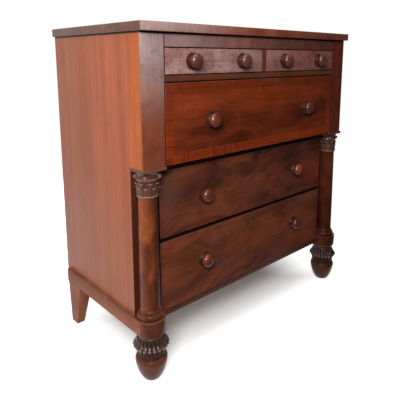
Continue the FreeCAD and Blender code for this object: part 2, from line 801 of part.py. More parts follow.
# Long lower drawers, whose thick fronts lap over the stiles and slide onto dovetail tongues
LOWER_DRAWERS = (
    ("bottom_drawer", "bottom_front_z", "bottom_foot_z", "base_height + slide_clearance", "bottom_front_z",
     "lower_dust_bottom"),
    ("middle_drawer", "middle_front_z", "middle_front_z", "lower_dust_top + slide_clearance",
     "lower_dust_top + slide_clearance", "waist_board_bottom"),
)
for name, front_low, front_foot, box_low, tongue_low, ceiling in LOWER_DRAWERS:
    box_high = ceiling + " - side_drop"
    outer_end = "stile_inner - guide_clearance"
    back_face = "back_inner_y - lower_back_gap"
    panel_low = box_low + " + groove_height"
    panel_high = panel_low + " + drawer_bottom_thickness"
    panel_half = outer_end + " - drawer_side_thickness + groove_depth"
    part(name + "_bottom", block(
        name + "Panel", centred(panel_half + " - groove_clearance"),
        ("lower_back_y - groove_depth + groove_clearance", back_face),
        (panel_low + " + groove_clearance", panel_high + " - groove_clearance")))
    groove = block(
        name + "Groove", centred(panel_half), ("lower_back_y - groove_depth", back_face), (panel_low, panel_high))

    box_sides = []
    sockets = []
    for side, sign in SIDES:
        cheek = block(
            name + side + "Cheek", mirrored(sign, outer_end + " - drawer_side_thickness", outer_end),
            ("lower_back_y", back_face), (box_low, box_high))
        middle = "%d * (%s - drawer_side_thickness / 2)" % (sign, outer_end)
        tongue = taper(
            name + side + "Tongue",
            ((middle + " - tongue_wide / 2", middle + " + tongue_wide / 2"), (tongue_low, box_high)),
            ((middle + " - tongue_narrow / 2", middle + " + tongue_narrow / 2"), (tongue_low, box_high)),
            ("lower_back_y - tongue_length", "lower_back_y"))
        sockets.append(tongue)
        box_sides.append(cut(name + side + "Side", fuse(name + side + "Tongued", [cheek, tongue]), [groove]))
    back = block(
        name + "Back", centred(outer_end + " - drawer_side_thickness"),
        (back_face + " - drawer_back_thickness", back_face), (panel_high, box_high))
    part(name + "_box", group(name + "Box", box_sides + [back]))

    front_high = front_low + " + lower_front_height"
    knobs = []
    holes = []
    for number, offset in enumerate((-1, 1)):
        spot = ("%d * lower_knob_spacing / 2" % offset, "lower_back_y", front_low + " + lower_front_height / 2")
        knobs.append(knob("%sKnob%d" % (name, number), "lower_front_thickness", spot))
        holes.append(knob_hole("%sHole%d" % (name, number), "lower_front_thickness", spot))
    part(name + "_knobs", group(name + "Knobs", knobs))
    lock_and_bolt(name, LOWER_LOCK_Y, ceiling + " - lock_board_gap")
    blank = block(
        name + "Blank", centred("lower_half"), ("lower_face_y", "lower_back_y"), (front_foot, front_high))
    if front_foot != front_low:
        # The bottom front laps over the bottom board, and its lower corners clear the plinth blocks
        sockets += [block(
            name + side + "Corner", mirrored(sign, "column_x - block_radius - front_gap", "lower_half"),
            ("lower_face_y", "lower_back_y"), (front_foot, front_low)) for side, sign in SIDES]
    eyes = keyhole(name + "Key", ("lower_face_y", "lower_back_y"), front_high + " - keyhole_drop")
    part(name + "_front", cut(name + "Front", blank, sockets + [groove] + holes + eyes))

# Desk drawer box, floor and gallery
DESK_LENGTH = ("desk_front_y", "desk_back_y")
desk_sides = []
for side, sign in SIDES:
    desk_sides.append(block(
        side + "DeskSide", mirrored(sign, "desk_inner", "desk_outer"), DESK_LENGTH, ("desk_bottom", "desk_side_top")))
desk_back = block(
    "DeskBack", centred("desk_inner"), ("gallery_back_y", "desk_back_y"), ("hinge_height", "desk_side_top"))
part("desk_drawer_box", group("DeskDrawerBox", desk_sides + [desk_back]))

GALLERY_LENGTH = ("gallery_front_y", "gallery_back_y")
INNER_DRAWERS = 4
PIGEONHOLES = 6
inner_cell = "((2 * gallery_half - %d * gallery_board) / %d)" % (INNER_DRAWERS + 1, INNER_DRAWERS)
pigeon_cell = "((2 * gallery_half - %d * gallery_board) / %d)" % (PIGEONHOLES + 1, PIGEONHOLES)
gallery = []
for side, sign in SIDES:
    gallery.append(block(
        side + "GalleryEnd", mirrored(sign, "gallery_half - gallery_board", "gallery_half"),
        GALLERY_LENGTH, ("hinge_height", "gallery_top")))
for shelf, low in (("Shelf", "shelf_z"), ("Cover", "gallery_top - gallery_board")):
    gallery.append(block(
        "Gallery" + shelf, centred("gallery_half - gallery_board"), GALLERY_LENGTH, (low, low + " + gallery_board")))
for number in range(1, INNER_DRAWERS):
    left = "-gallery_half + %d * (%s + gallery_board)" % (number, inner_cell)
    gallery.append(block(
        "DrawerPartition%d" % number, (left, left + " + gallery_board"), GALLERY_LENGTH, ("hinge_height", "shelf_z")))
for number in range(1, PIGEONHOLES):
    left = "-gallery_half + %d * (%s + gallery_board)" % (number, pigeon_cell)
    gallery.append(block(
        "PigeonPartition%d" % number, (left, left + " + gallery_board"), GALLERY_LENGTH,
        ("shelf_z + gallery_board", "gallery_top - gallery_board")))
part("desk_gallery", group("DeskGallery", gallery))

# Inner drawers under the pigeonholes
INNER_RIM = "(inner_knob_radius - inner_knob_round)"
for number in range(INNER_DRAWERS):
    name = "inner_drawer_%d" % (number + 1)
    left = "-gallery_half + gallery_board + inner_gap + %d * (%s + gallery_board)" % (number, inner_cell)
    right = "%s + %s - 2 * inner_gap" % (left, inner_cell)
    low = "hinge_height + inner_gap"
    high = "shelf_z - inner_gap"
    behind = "gallery_front_y + inner_front_thickness"
    end = "gallery_back_y - inner_back_gap"
    floor = low + " + inner_bottom_thickness"
    middle = ("(%s + %s) / 2" % (left, right), "gallery_front_y", "(%s + %s) / 2" % (low, high))
    pieces = [
        block(name + "Front", (left, right), ("gallery_front_y", behind), (low, high)),
        block(name + "Floor", (left, right), (behind, end), (low, floor)),
        block(name + "LeftSide", (left, left + " + inner_side_thickness"), (behind, end), (floor, high)),
        block(name + "RightSide", (right + " - inner_side_thickness", right), (behind, end), (floor, high)),
        block(name + "Back", (left + " + inner_side_thickness", right + " - inner_side_thickness"),
              (end + " - inner_side_thickness", end), (floor, high)),
        turned(name + "Knob", [
            ("0", "0"),
            ("inner_knob_flange", "0"),
            ("inner_knob_neck", "inner_knob_neck_height"),
            (INNER_RIM, "inner_knob_widest - inner_knob_rim"),
            (INNER_RIM, "inner_knob_widest + inner_knob_rim", "inner_knob_radius", "inner_knob_widest"),
            dome(INNER_RIM, "(inner_knob_projection - inner_knob_widest - inner_knob_rim)",
                 "inner_knob_projection"),
        ], middle, FORWARD),
    ]
    part(name, group(name + "Pieces", pieces))

# Fall hinges: fixed leaves with their pins, and moving leaves that carry the quadrant stays
fixed = []
moving = []
fall_pockets = []
floor_pockets = []
KNUCKLES = (
    ("First", "leaf_inner", "leaf_inner + knuckle_width"),
    ("Third", "leaf_outer - knuckle_width", "leaf_outer"),
)
for side, sign in SIDES:
    span = mirrored(sign, "leaf_inner", "leaf_outer")
    pin_start = (span[0], "hinge_y", "hinge_height")
    pin_bore = rod(
        side + "FixedBore", "hinge_pin_radius + hinge_pin_clearance / 2", "leaf_width", pin_start, SIDEWAYS)
    plate = block(
        side + "FixedPlate", span,
        ("hinge_y + knuckle_radius + knuckle_relief", "hinge_y + knuckle_radius + leaf_length"),
        ("hinge_height - leaf_thickness", "hinge_height"))
    leaf = [plate]
    for knuckle, near, far in KNUCKLES:
        reach = mirrored(sign, near, far)
        leaf.append(rod(
            side + knuckle + "Knuckle", "knuckle_radius", "knuckle_width",
            (reach[0], "hinge_y", "hinge_height"), SIDEWAYS))
        leaf.append(block(
            side + knuckle + "Neck", reach, ("hinge_y", "hinge_y + knuckle_radius + knuckle_relief"),
            ("hinge_height - leaf_thickness", "hinge_height")))
    fixed.append(cut(side + "FixedLeaf", fuse(side + "FixedBlank", leaf), [pin_bore]))
    fixed.append(rod(side + "HingePin", "hinge_pin_radius", "leaf_width", pin_start, SIDEWAYS))

    reach = mirrored(
        sign, "leaf_inner + knuckle_width + knuckle_gap", "leaf_outer - knuckle_width - knuckle_gap")
    barrel = rod(
        side + "MovingKnuckle", "knuckle_radius", "(%s) - (%s)" % (reach[1], reach[0]),
        (reach[0], "hinge_y", "hinge_height"), SIDEWAYS)
    neck = block(
        side + "MovingNeck", reach, ("hinge_y - leaf_thickness", "hinge_y"),
        ("hinge_height", "hinge_height + knuckle_radius + knuckle_relief"))
    strip = block(
        side + "MovingStrip", span, ("hinge_y - leaf_thickness", "hinge_y"),
        ("hinge_height + knuckle_radius + knuckle_relief", "hinge_height + stay_radius"))
    stay_start = mirrored(sign, "stay_outer - stay_thickness", "stay_outer")
    disc = rod(
        side + "StayDisc", "stay_radius", "stay_thickness", (stay_start[1], "hinge_y", "hinge_height"), QUADRANT)
    bind(disc, "Angle", "stay_angle")
    hollow = rod(
        side + "StayHollow", "stay_radius - stay_band", "stay_thickness",
        (stay_start[1], "hinge_y", "hinge_height"), QUADRANT)
    quadrant = cut(side + "Quadrant", disc, [hollow])
    moving_bore = rod(
        side + "MovingBore", "hinge_pin_radius + hinge_pin_clearance", "leaf_width", pin_start, SIDEWAYS)
    moving.append(cut(side + "Stay", fuse(side + "StayBlank", [barrel, neck, strip, quadrant]), [moving_bore]))

    relief = mirrored(sign, "leaf_inner - knuckle_relief", "leaf_outer + knuckle_relief")
    swing = rod(
        side + "FallRelief", "knuckle_radius + knuckle_relief", "leaf_width + 2 * knuckle_relief",
        (relief[0], "hinge_y", "hinge_height"), SIDEWAYS)
    fall_pockets.append(swing)
    fall_pockets.append(block(
        side + "FallRecess", span, ("hinge_y - leaf_thickness", "hinge_y"),
        ("hinge_height", "hinge_height + stay_radius")))
    floor_pockets.append(swing)
    floor_pockets.append(block(
        side + "FloorRecess", span, ("hinge_y", "hinge_y + knuckle_radius + leaf_length"),
        ("hinge_height - leaf_thickness", "hinge_height")))
part("fall_hinges", group("FallHinges", fixed))
part("fall_stays", group("FallStays", moving))
desk_floor = block(
    "DeskFloorBlank", centred("desk_inner"), DESK_LENGTH, ("desk_bottom", "hinge_height"))
part("desk_floor", cut("DeskFloor", desk_floor, floor_pockets))

# The fall: front, knobs, lock and bolt
fall_blank = block(
    "FallBlank", centred("post_inner - front_gap"), ("front_y", "hinge_y"), ("hinge_height", "fall_top"))
fall_knobs = []
fall_holes = []
for number, offset in enumerate((-1, 1)):
    spot = ("%d * fall_knob_spacing / 2" % offset, "hinge_y", "(hinge_height + fall_top) / 2")
    fall_knobs.append(knob("FallKnob%d" % number, "fall_thickness", spot))
    fall_holes.append(knob_hole("FallHole%d" % number, "fall_thickness", spot))
part("fall_knobs", group("FallKnobs", fall_knobs))
lock_and_bolt("fall", FALL_LOCK_Y, "fall_top")
lock_pocket = block(
    "FallLockPocket", centred("lock_width / 2"), (FALL_LOCK_Y, "hinge_y"), ("fall_top - lock_height", "fall_top"))
fall_eyes = keyhole("FallKey", ("front_y", "hinge_y"), "fall_top - keyhole_drop")
part("fall_front", cut("FallFront", fall_blank, fall_pockets + [lock_pocket] + fall_holes + fall_eyes))

# Check every object, then write each piece
doc.recompute()
for thing in doc.Objects:
    if "Invalid" in thing.State or "Error" in thing.State:
        raise RuntimeError("%s did not build: %s" % (thing.Name, thing.State))
for thing in PARTS:
    if thing.Shape.isNull() or not thing.Shape.isValid() or not thing.Shape.Solids:
        raise RuntimeError("%s has no sound solid" % thing.Label)
os.makedirs("parts", exist_ok=True)
for thing in PARTS:
    thing.Shape.exportStep("parts/%s.step" % thing.Label)
print("%d pieces written" % len(PARTS))
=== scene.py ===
# %% [markdown]
# # Dressing a butler desk
# The desk comes from the drawing office as sixty exact pieces in one shared frame: a case with two small drawers, a
# desk drawer behind a hinged fall, and two long drawers between turned columns. This lesson dresses that frame. It
# eases the sharp edges, carves the capitals and feet, turns the knobs, and gives each wood its figure and polish.

# %% Load the frame
import json
import math

import bmesh
import bpy
from mathutils import Matrix, Vector


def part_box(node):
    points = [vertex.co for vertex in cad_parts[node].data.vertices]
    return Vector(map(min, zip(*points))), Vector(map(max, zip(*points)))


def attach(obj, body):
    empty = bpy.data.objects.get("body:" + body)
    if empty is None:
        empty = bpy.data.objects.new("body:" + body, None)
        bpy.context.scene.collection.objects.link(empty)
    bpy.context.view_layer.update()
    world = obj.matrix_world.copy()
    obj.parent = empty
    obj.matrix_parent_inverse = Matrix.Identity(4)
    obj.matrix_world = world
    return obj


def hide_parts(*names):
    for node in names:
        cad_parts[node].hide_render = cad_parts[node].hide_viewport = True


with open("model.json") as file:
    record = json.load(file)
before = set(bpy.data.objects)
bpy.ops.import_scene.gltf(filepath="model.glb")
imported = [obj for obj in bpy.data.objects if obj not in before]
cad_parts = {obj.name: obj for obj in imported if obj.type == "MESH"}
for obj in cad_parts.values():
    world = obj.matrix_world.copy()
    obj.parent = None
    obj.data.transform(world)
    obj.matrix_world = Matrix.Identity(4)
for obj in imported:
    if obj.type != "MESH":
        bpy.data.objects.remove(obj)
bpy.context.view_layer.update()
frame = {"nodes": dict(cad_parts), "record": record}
BODIES = frame["record"]["behaviour"]["bodies"]
BODY_OF = {node: body for body, nodes in BODIES.items() for node in nodes}
MM = 0.001
TOUCH = 0.01 * MM

# %% [markdown]
# ## The camera
# The picture was taken from the front left corner with the lens a little below the top board, so the top's upper
# face doesn't show. The upright edges stay nearly parallel, which a photographer gets by keeping the camera nearly
# level and shifting the lens down. A shifted camera in Blender does the same. The plain Standard view shows each
# colour as it is mixed, without a film look.

# %% Camera
scene = bpy.context.scene
scene.view_settings.view_transform = "Standard"
lens = bpy.data.cameras.new("lens")
lens.sensor_fit = "HORIZONTAL"
lens.sensor_width = 36
lens.lens = 39.83
lens.shift_x = -0.01965
lens.shift_y = -0.1583
camera = bpy.data.objects.new("camera", lens)
camera.location = (-1.29855, -1.34970, 1.07391)
camera.rotation_euler = (math.radians(79.932), 0, math.radians(-42.927))
scene.collection.objects.link(camera)
scene.camera = camera
print("camera", [round(v, 3) for v in camera.location])

# %% [markdown]
# ## Short words for shader nodes
# A shader is a tree of nodes, and adding each node takes several lines. A wire stands for one output of a node. Sums
# and products of wires, and the methods below, add the nodes that work them out, so a finish reads like arithmetic.

# %% Node helpers
def add_node(tree, kind, inputs=None, **settings):
    """Add a node. Each input is a plain value, or a wire from another node."""
    made = tree.nodes.new(kind)
    for name, value in settings.items():
        setattr(made, name, value)
    for socket, value in (inputs or {}).items():
        if isinstance(value, Wire):
            tree.links.new(value.socket, made.inputs[socket])
        else:
            made.inputs[socket].default_value = value
    return made


def wire(tree, kind, inputs=None, out=0, **settings):
    """Add a node, and give the wire that leaves one of its outputs."""
    return Wire(tree, add_node(tree, kind, inputs, **settings).outputs[out])


class Wire:
    """One value in a shader tree: a number, a vector or a colour."""

    def __init__(self, tree, socket):
        self.tree, self.socket = tree, socket

    def to(self, kind, inputs=None, out=0, **settings):
        return wire(self.tree, kind, inputs, out, **settings)

    def maths(self, operation, other=0.5):
        return self.to("ShaderNodeMath", {0: self, 1: other}, operation=operation)

    def __add__(self, other):
        return self.maths("ADD", other)

    def __sub__(self, other):
        return self.maths("SUBTRACT", other)

    def __rsub__(self, other):
        return self.to("ShaderNodeMath", {0: other, 1: self}, operation="SUBTRACT")

    def __mul__(self, other):
        return self.maths("MULTIPLY", other)

    def vector(self, operation, *others, out=0):
        return self.to("ShaderNodeVectorMath", dict(enumerate((self, *others))), out, operation=operation)

    def axis(self, name):
        return self.to("ShaderNodeSeparateXYZ", {0: self}, name)

    def attribute(self, name):
        return self.to("ShaderNodeAttribute", out="Fac", attribute_name=name)

    def spread(self, low, high, start=0.0, end=1.0):
        """Ease from start to end while this value goes from low to high."""
        sockets = {"Value": self, "From Min": low, "From Max": high, "To Min": start, "To Max": end}
        return self.to("ShaderNodeMapRange", sockets, interpolation_type="SMOOTHSTEP")

    def fade(self, share, other):
        """This number, or by its share another one."""
        return self.to("ShaderNodeMix", {0: share, 2: self, 3: other})

    def between(self, first, second, way="MIX"):
        """The first colour where this share is 0, the second where it is 1. Plain red, green and blue will do."""
        first, second = [(*colour, 1) if isinstance(colour, tuple) else colour for colour in (first, second)]
        return self.to("ShaderNodeMix", {0: self, 6: first, 7: second}, 2, data_type="RGBA", blend_type=way)

    def mix(self, share, other, way="MIX"):
        return share.between(self, other, way)

    def stretch(self, scale=(1, 1, 1), turn=(0, 0, 0), shift=(0, 0, 0)):
        return self.to("ShaderNodeMapping", {"Vector": self, "Scale": scale, "Rotation": turn, "Location": shift})

    def noise(self, scale=1.0, detail=3.0, rough=0.5, bend=0.0, out=0):
        sockets = {"Vector": self, "Scale": scale, "Detail": detail, "Roughness": rough, "Distortion": bend}
        return self.to("ShaderNodeTexNoise", sockets, out)

    def warp(self, scale, amount):
        """Push a vector about by a soft noise."""
        middle = self.noise(scale, 2.0, out=1).vector("SUBTRACT", (0.5, 0.5, 0.5))
        return middle.vector("MULTIPLY_ADD", (amount, amount, amount), self)

    def near(self, centre, reach):
        """1 at a point of the surface, easing to 0 at a distance that may differ along each axis."""
        away = self.vector("SUBTRACT", centre).vector("DIVIDE", reach)
        return away.vector("LENGTH", out=1).spread(0.0, 1.0, 1.0, 0.0)

    def ramp(self, stops):
        """A colour ramp from pairs of a place and a colour."""
        made = add_node(self.tree, "ShaderNodeValToRGB", {0: self})
        points = made.color_ramp.elements
        while len(points) < len(stops):
            points.new(0.5)
        for point, (place, colour) in zip(points, stops):
            point.position = place
            point.color = (*colour, 1)
        return Wire(self.tree, made.outputs[0])


# %% [markdown]
# ## Studio
# The desk stood on a white floor before a white ground. The world is bright behind the desk and dimmer in front of it,
# so the side picks up a pale sheen while the fall keeps its deep colour. A picture of a studio could light the desk
# too, but two greys with a soft border are easier to tune. Where the camera or a mirror looks at it, the world is at
# full strength, and where it only lights the desk it is dimmer.

# %% World
def light_path(tree):
    """Wires for the rays of the camera, and for those together with the rays that a mirror or glass sends on."""
    path = add_node(tree, "ShaderNodeLightPath")
    camera_ray, glossy_ray, transmission_ray = [
        Wire(tree, path.outputs[name]) for name in ("Is Camera Ray", "Is Glossy Ray", "Is Transmission Ray")]
    return camera_ray, camera_ray.maths("MAXIMUM", glossy_ray).maths("MAXIMUM", transmission_ray)


BACKDROP = (-0.2, 0.98, 0.0)
FRONT_GREY = (0.10, 0.10, 0.10)
WHITE = (1.0, 1.0, 1.0)
UNSEEN = 0.7
world = bpy.data.worlds.new("studio")
world.use_nodes = True
scene.world = world
tree = world.node_tree
tree.nodes.clear()
facing = wire(tree, "ShaderNodeTexCoord", out="Generated").vector("DOT_PRODUCT", BACKDROP, out=1)
camera_ray, seen = light_path(tree)
sky = facing.spread(-0.1, 0.4).between(FRONT_GREY, WHITE).mix(camera_ray, WHITE)
glow = wire(tree, "ShaderNodeBackground", {"Color": sky, "Strength": seen * (1 - UNSEEN) + UNSEEN})
add_node(tree, "ShaderNodeOutputWorld", {"Surface": glow})
print("world", world.name, len(tree.nodes), "nodes")

# %% [markdown]
# ## Lamps
# A soft lamp at the left lights the side panel, and the front, turned away from it, stays darker. A second one
# overhead draws the shadow under the desk. Both are area lamps, whose shadows have soft borders.

# %% Lamps
LAMPS = (
    ("left", (-1.8, -1.65, 1.8), (-0.4, -0.26, 0.65), (0.8, 0.8), 58),
    ("overhead", (-0.6, -0.6, 3.3), (0.0, -0.1, 0.0), (2.0, 2.0), 40),
)
for name, place, target, size, power in LAMPS:
    light = bpy.data.lights.new(name, "AREA")
    light.shape = "RECTANGLE"
    light.size, light.size_y = size
    light.energy = power
    lamp = bpy.data.objects.new(name, light)
    lamp.location = place
    lamp.rotation_euler = (Vector(target) - Vector(place)).to_track_quat("-Z", "Y").to_euler()
    scene.collection.objects.link(lamp)
    print("lamp", name, power, "W")

# %% [markdown]
# ## Floor
# The floor is one matt sheet. It adds white of its own where the eye or a mirror sees it, hardly any under the desk and
# more with the distance from it, so that the ground turns white and still takes the shadow. The missing white under the
# desk is a painted shadow on top of the cast one. It ends just in front of the feet, or the knobs would mirror it.

# %% Floor
FLOOR_CORNERS = ((-1.5, -0.37, 0), (1.0, -0.37, 0), (1.0, 2.4, 0), (-1.5, 2.4, 0))
HALF_WIDTH, HALF_DEPTH = 0.56, 0.28
plane = bmesh.new()
plane.faces.new([plane.verts.new(spot) for spot in FLOOR_CORNERS])
floor_mesh = bpy.data.meshes.new("floor")
plane.to_mesh(floor_mesh)
plane.free()
floor = bpy.data.objects.new("floor", floor_mesh)
scene.collection.objects.link(floor)
paper = bpy.data.materials.new("white_floor")
paper.use_nodes = True
tree = paper.node_tree
tree.nodes.clear()
spot = wire(tree, "ShaderNodeTexCoord", out="Object")
past_x = spot.axis("X").maths("ABSOLUTE") - HALF_WIDTH
past_y = spot.axis("Y").maths("ABSOLUTE") - HALF_DEPTH
away = past_x.maths("MAXIMUM", past_y)
# Painted shadow: the floor's own white fades away under the desk.
white = away.spread(-0.26, 0.10, 0.03, 0.85) + away.spread(0.14, 0.40, 0.0, 0.15)
lift = wire(tree, "ShaderNodeEmission", {"Color": (1, 1, 1, 1), "Strength": white * light_path(tree)[1]})
matt = wire(tree, "ShaderNodeBsdfDiffuse", {"Color": (0.83, 0.83, 0.83, 1)})
both = wire(tree, "ShaderNodeAddShader", {0: matt, 1: lift})
add_node(tree, "ShaderNodeOutputMaterial", {"Surface": both})
floor_mesh.materials.append(paper)
print("floor", round(floor.dimensions[0], 2), "m across")

# %% [markdown]
# ## Grain, flame and polish
# Three effects return in every finish, so each is a node group. Straight grain is noise drawn out along the board: wide
# streaks, fine fibres and short dark pores. Flame is the swirl of wood cut where a trunk forks, made of noise that is
# bent by another noise. Old polish is what two hundred years leave: uneven gloss, darker grime, small dents.

# %% Group helpers
VECTOR, FLOAT = "NodeSocketVector", "NodeSocketFloat"


def start_group(name, **inputs):
    """A new node group, and a wire for each of its inputs."""
    group = bpy.data.node_groups.new(name, "ShaderNodeTree")
    for title, kind in inputs.items():
        group.interface.new_socket(name=title, in_out="INPUT", socket_type=kind)
    start = group.nodes.new("NodeGroupInput")
    return [group] + [Wire(group, start.outputs[title]) for title in inputs]


def end_group(group, **outputs):
    """Give a group its outputs, which are all numbers."""
    for title in outputs:
        group.interface.new_socket(name=title, in_out="OUTPUT", socket_type=FLOAT)
    add_node(group, "NodeGroupOutput", outputs)


# %% Straight grain
straight_grain, place = start_group("straight_grain", Vector=VECTOR)
board = place.warp(1.3, 0.05)
streaks = board.stretch((17, 17, 0.8)).noise(detail=4.0)
fibres = board.stretch((150, 150, 2.6)).noise(detail=3.0)
pores = board.stretch((640, 640, 24)).noise(detail=2.0)
end_group(
    straight_grain, Tone=streaks.spread(0.3, 0.7), Fibre=fibres.spread(0.42, 0.75), Pore=pores.spread(0.6, 0.72))
print(straight_grain.name, len(straight_grain.nodes), "nodes")

# %% Flame figure
flame_figure, place, size = start_group("flame_figure", Vector=VECTOR, Size=FLOAT)
sized = place.to("ShaderNodeVectorMath", {0: place.warp(2.4, 0.42), "Scale": size}, operation="SCALE")
flames = sized.stretch((3.4, 3.4, 1.5)).noise(detail=5.0, rough=0.55, bend=1.1)
mottles = sized.stretch((22, 22, 9)).noise(detail=3.0, rough=0.6, bend=0.6)
end_group(flame_figure, Flame=flames.spread(0.37, 0.63), Mottle=mottles.spread(0.35, 0.7))
print(flame_figure.name, len(flame_figure.nodes), "nodes")

# %% Old polish
old_polish, place, rough, uneven = start_group("old_polish", Vector=VECTOR, Roughness=FLOAT, Unevenness=FLOAT)
swing = (place.noise(7.0, detail=5.0) - 0.5) * uneven
cells = place.to("ShaderNodeTexVoronoi", {"Vector": place.warp(9.0, 0.03), "Scale": 8.0}, "Distance")
dents = cells.spread(0.012, 0.03, 1.0, 0.0)
end_group(
    old_polish, Roughness=rough + swing, Height=place.noise(95.0, detail=2.0) - dents,
    Grime=place.noise(11.0, detail=6.0).spread(0.48, 0.72), Dent=dents)
print(old_polish.name, len(old_polish.nodes), "nodes")

# %% [markdown]
# ## One recipe for polished wood
# Every show surface is red-brown cabinet wood under old shellac. One function builds such a finish from the three
# groups: it turns the grain, colours it by a ramp, draws the fibres and pores, lightens the worn edges and ends in a
# Principled shader. A dress function may paint what is special to one surface. The edges are found by a mesh attribute
# that the pieces get when they are eased, which follows the shape better than any noise could.

# %% Finish helpers
ALONG_X = (0, math.radians(-90), 0)
ALONG_Y = (math.radians(90), 0, 0)
ALONG_Z = (0, 0, 0)
UNDER_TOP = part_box("top_board")[0].z - 5 * MM
# The near-black colour of the painted shade that stands for the shadow under the top's overhang.
SHADE = (0.012, 0.005, 0.003)
FIBRE, PORE, DIRT = (0.42, 0.34, 0.3), (0.3, 0.22, 0.18), (0.45, 0.36, 0.33)


def new_finish(name):
    """An empty finish, and the wire that tells each spot of a piece."""
    finish = bpy.data.materials.new(name)
    finish.use_nodes = True
    finish.node_tree.nodes.clear()
    return finish, wire(finish.node_tree, "ShaderNodeTexCoord", out="Object")


def place_group(spot, group, **inputs):
    """Put a group into a tree, and give its outputs by name."""
    made = add_node(spot.tree, "ShaderNodeGroup", {"Vector": spot, **inputs}, node_tree=group)
    return {socket.name: Wire(spot.tree, socket) for socket in made.outputs}


def end_finish(finish, sockets, strength, distance, height):
    """Close a finish with a shader, and with the bump of a height."""
    tree = finish.node_tree
    bump = wire(tree, "ShaderNodeBump", {"Strength": strength, "Distance": distance, "Height": height})
    shader = wire(tree, "ShaderNodeBsdfPrincipled", {**sockets, "Normal": bump})
    add_node(tree, "ShaderNodeOutputMaterial", {"Surface": shader})
    return finish


print("the shade under the top starts at", round(UNDER_TOP, 4), "m")


# %% Wood finish
def wood_finish(name, turn, tones, middle=0.5, figure=0.0, size=1.0, mottle=0.0, shift=(0, 0, 0), fibre=0.3,
                grime=0.35, rough=0.4, uneven=0.2, gloss=0.5, relief=0.25, worn=(0.34, 0.12, 0.055), wear=0.6,
                dress=None, shade=None):
    """A polished wood, with two or three tones from its dark to its light grain. A painted shade darkens it above a
    height.
    """
    finish, spot = new_finish(name)
    along = spot.stretch(turn=turn, shift=shift)
    grain = place_group(along, straight_grain)
    flame = place_group(along, flame_figure, Size=size)
    tone = grain["Tone"].fade(figure, flame["Flame"]).fade(mottle, flame["Mottle"])
    places = (0.0, middle, 1.0) if len(tones) == 3 else (0.0, 1.0)
    colour = tone.ramp(list(zip(places, tones)))
    if dress:
        colour = dress(spot, colour)
    # Painted shade: a dark band just under the top, where its overhang casts a shadow.
    if shade:
        colour = colour.mix(spot.axis("Z").spread(shade - 1.5 * MM, shade, 0.0, 0.95), SHADE)
    colour = colour.mix(grain["Fibre"] * fibre, FIBRE, "MULTIPLY")
    colour = colour.mix(grain["Pore"] * 0.5, PORE, "MULTIPLY")
    polish = place_group(spot, old_polish, Roughness=rough, Unevenness=uneven)
    dirt = (polish["Grime"] * grime).maths("MAXIMUM", polish["Dent"])
    colour = colour.mix(dirt, DIRT, "MULTIPLY")
    rubbed = spot.attribute("worn_edge") * spot.noise(23.0, 4.0).spread(0.3, 0.62, 0.15, wear)
    colour = colour.mix(rubbed, worn)
    sockets = {"Base Color": colour, "Roughness": polish["Roughness"], "Specular IOR Level": gloss}
    return end_finish(finish, sockets, relief, 0.6 * MM, polish["Height"] - grain["Pore"] * 0.8)


# %% [markdown]
# ## The sides
# The side panels are plain, bright boards with upright grain, darker towards the floor as a painted shade. A picture
# of a board would have to be unwrapped onto each piece and would repeat, so the grain is drawn in the desk's own space
# instead. The post that shows beside the panel is more orange. The faces that turn into the gaps between the pieces
# are painted near black, a painted shade for the shadow in the gaps.

# %% Side finishes
def side_dress(spot, colour):
    """The side grows darker towards the floor: a painted shade, as the light falls off lower down."""
    # Painted shade: the lower the spot, the more of a dark red-brown.
    return colour.mix(spot.axis("Z").spread(0.2, 1.1, 0.58, 0.0), (0.24, 0.062, 0.024))


side_wood = wood_finish(
    "side_wood", ALONG_Z, [(0.355, 0.093, 0.039), (0.415, 0.114, 0.050), (0.475, 0.135, 0.061)],
    rough=0.42, gloss=0.15, grime=0.2, uneven=0.12, dress=side_dress, shade=UNDER_TOP)
strip_wood = wood_finish(
    "strip_wood", ALONG_Z, [(0.32, 0.075, 0.020), (0.47, 0.120, 0.034)],
    shift=(0.3, 0.1, 0.2), rough=0.42, gloss=0.2, grime=0.15, fibre=0.25, shade=UNDER_TOP)
# Near black: a painted shade for the shadow in the gaps between pieces and under the top.
painted_gap_shade = wood_finish(
    "painted_gap_shade", ALONG_X, [(0.014, 0.006, 0.004), (0.030, 0.012, 0.008)], rough=0.75, gloss=0.1, wear=0.0)
# Dark wood of the stiles, darkened further as a painted shade for the shadow behind the columns.
stile_wood_and_shade = wood_finish(
    "stile_wood_and_shade", ALONG_Z, [(0.065, 0.014, 0.007), (0.125, 0.028, 0.012)], rough=0.6, gloss=0.15, wear=0.1)
print("side finishes", side_wood.name, strip_wood.name, painted_gap_shade.name, stile_wood_and_shade.name)


# %% [markdown]
# ## The posts
# In front, the posts over the columns are veneered with a dark sheet, and its polish has gone milky near the top. The
# bloom is a pale colour that comes in with the height, and noise breaks it into spots; the pale grey paints both that
# bloom and a sheen of light on the upper front. The right post has a duller polish and no bloom, and its darker veneer
# is a painted shade for the light that falls off to the right.

# %% Post veneers
def post_dress(spot, colour):
    """The polish has bloomed to a milky grey near the top, less so lower down and in spots; the grey is also a painted
    sheen.
    """
    height = spot.axis("Z")
    spots = spot.stretch((120, 120, 70)).noise(1.0, 4.0, 0.6).spread(0.33, 0.43, 0.45, 1.0)
    # Painted bloom and sheen: pale grey that comes in with the height.
    colour = colour.mix(height.spread(0.84, 1.10, 0.03, 1.0) * spots, (0.35, 0.240, 0.225))
    return colour.mix(height.spread(1.04, 1.14, 0.0, 0.6), (0.52, 0.400, 0.390))


post_veneer = wood_finish(
    "post_veneer", ALONG_Z, [(0.185, 0.044, 0.021), (0.255, 0.060, 0.027), (0.31, 0.075, 0.034)], middle=0.6,
    figure=0.45, size=2.4, mottle=0.3, rough=0.34, gloss=0.15, relief=0.6, uneven=0.25, dress=post_dress,
    shade=UNDER_TOP)
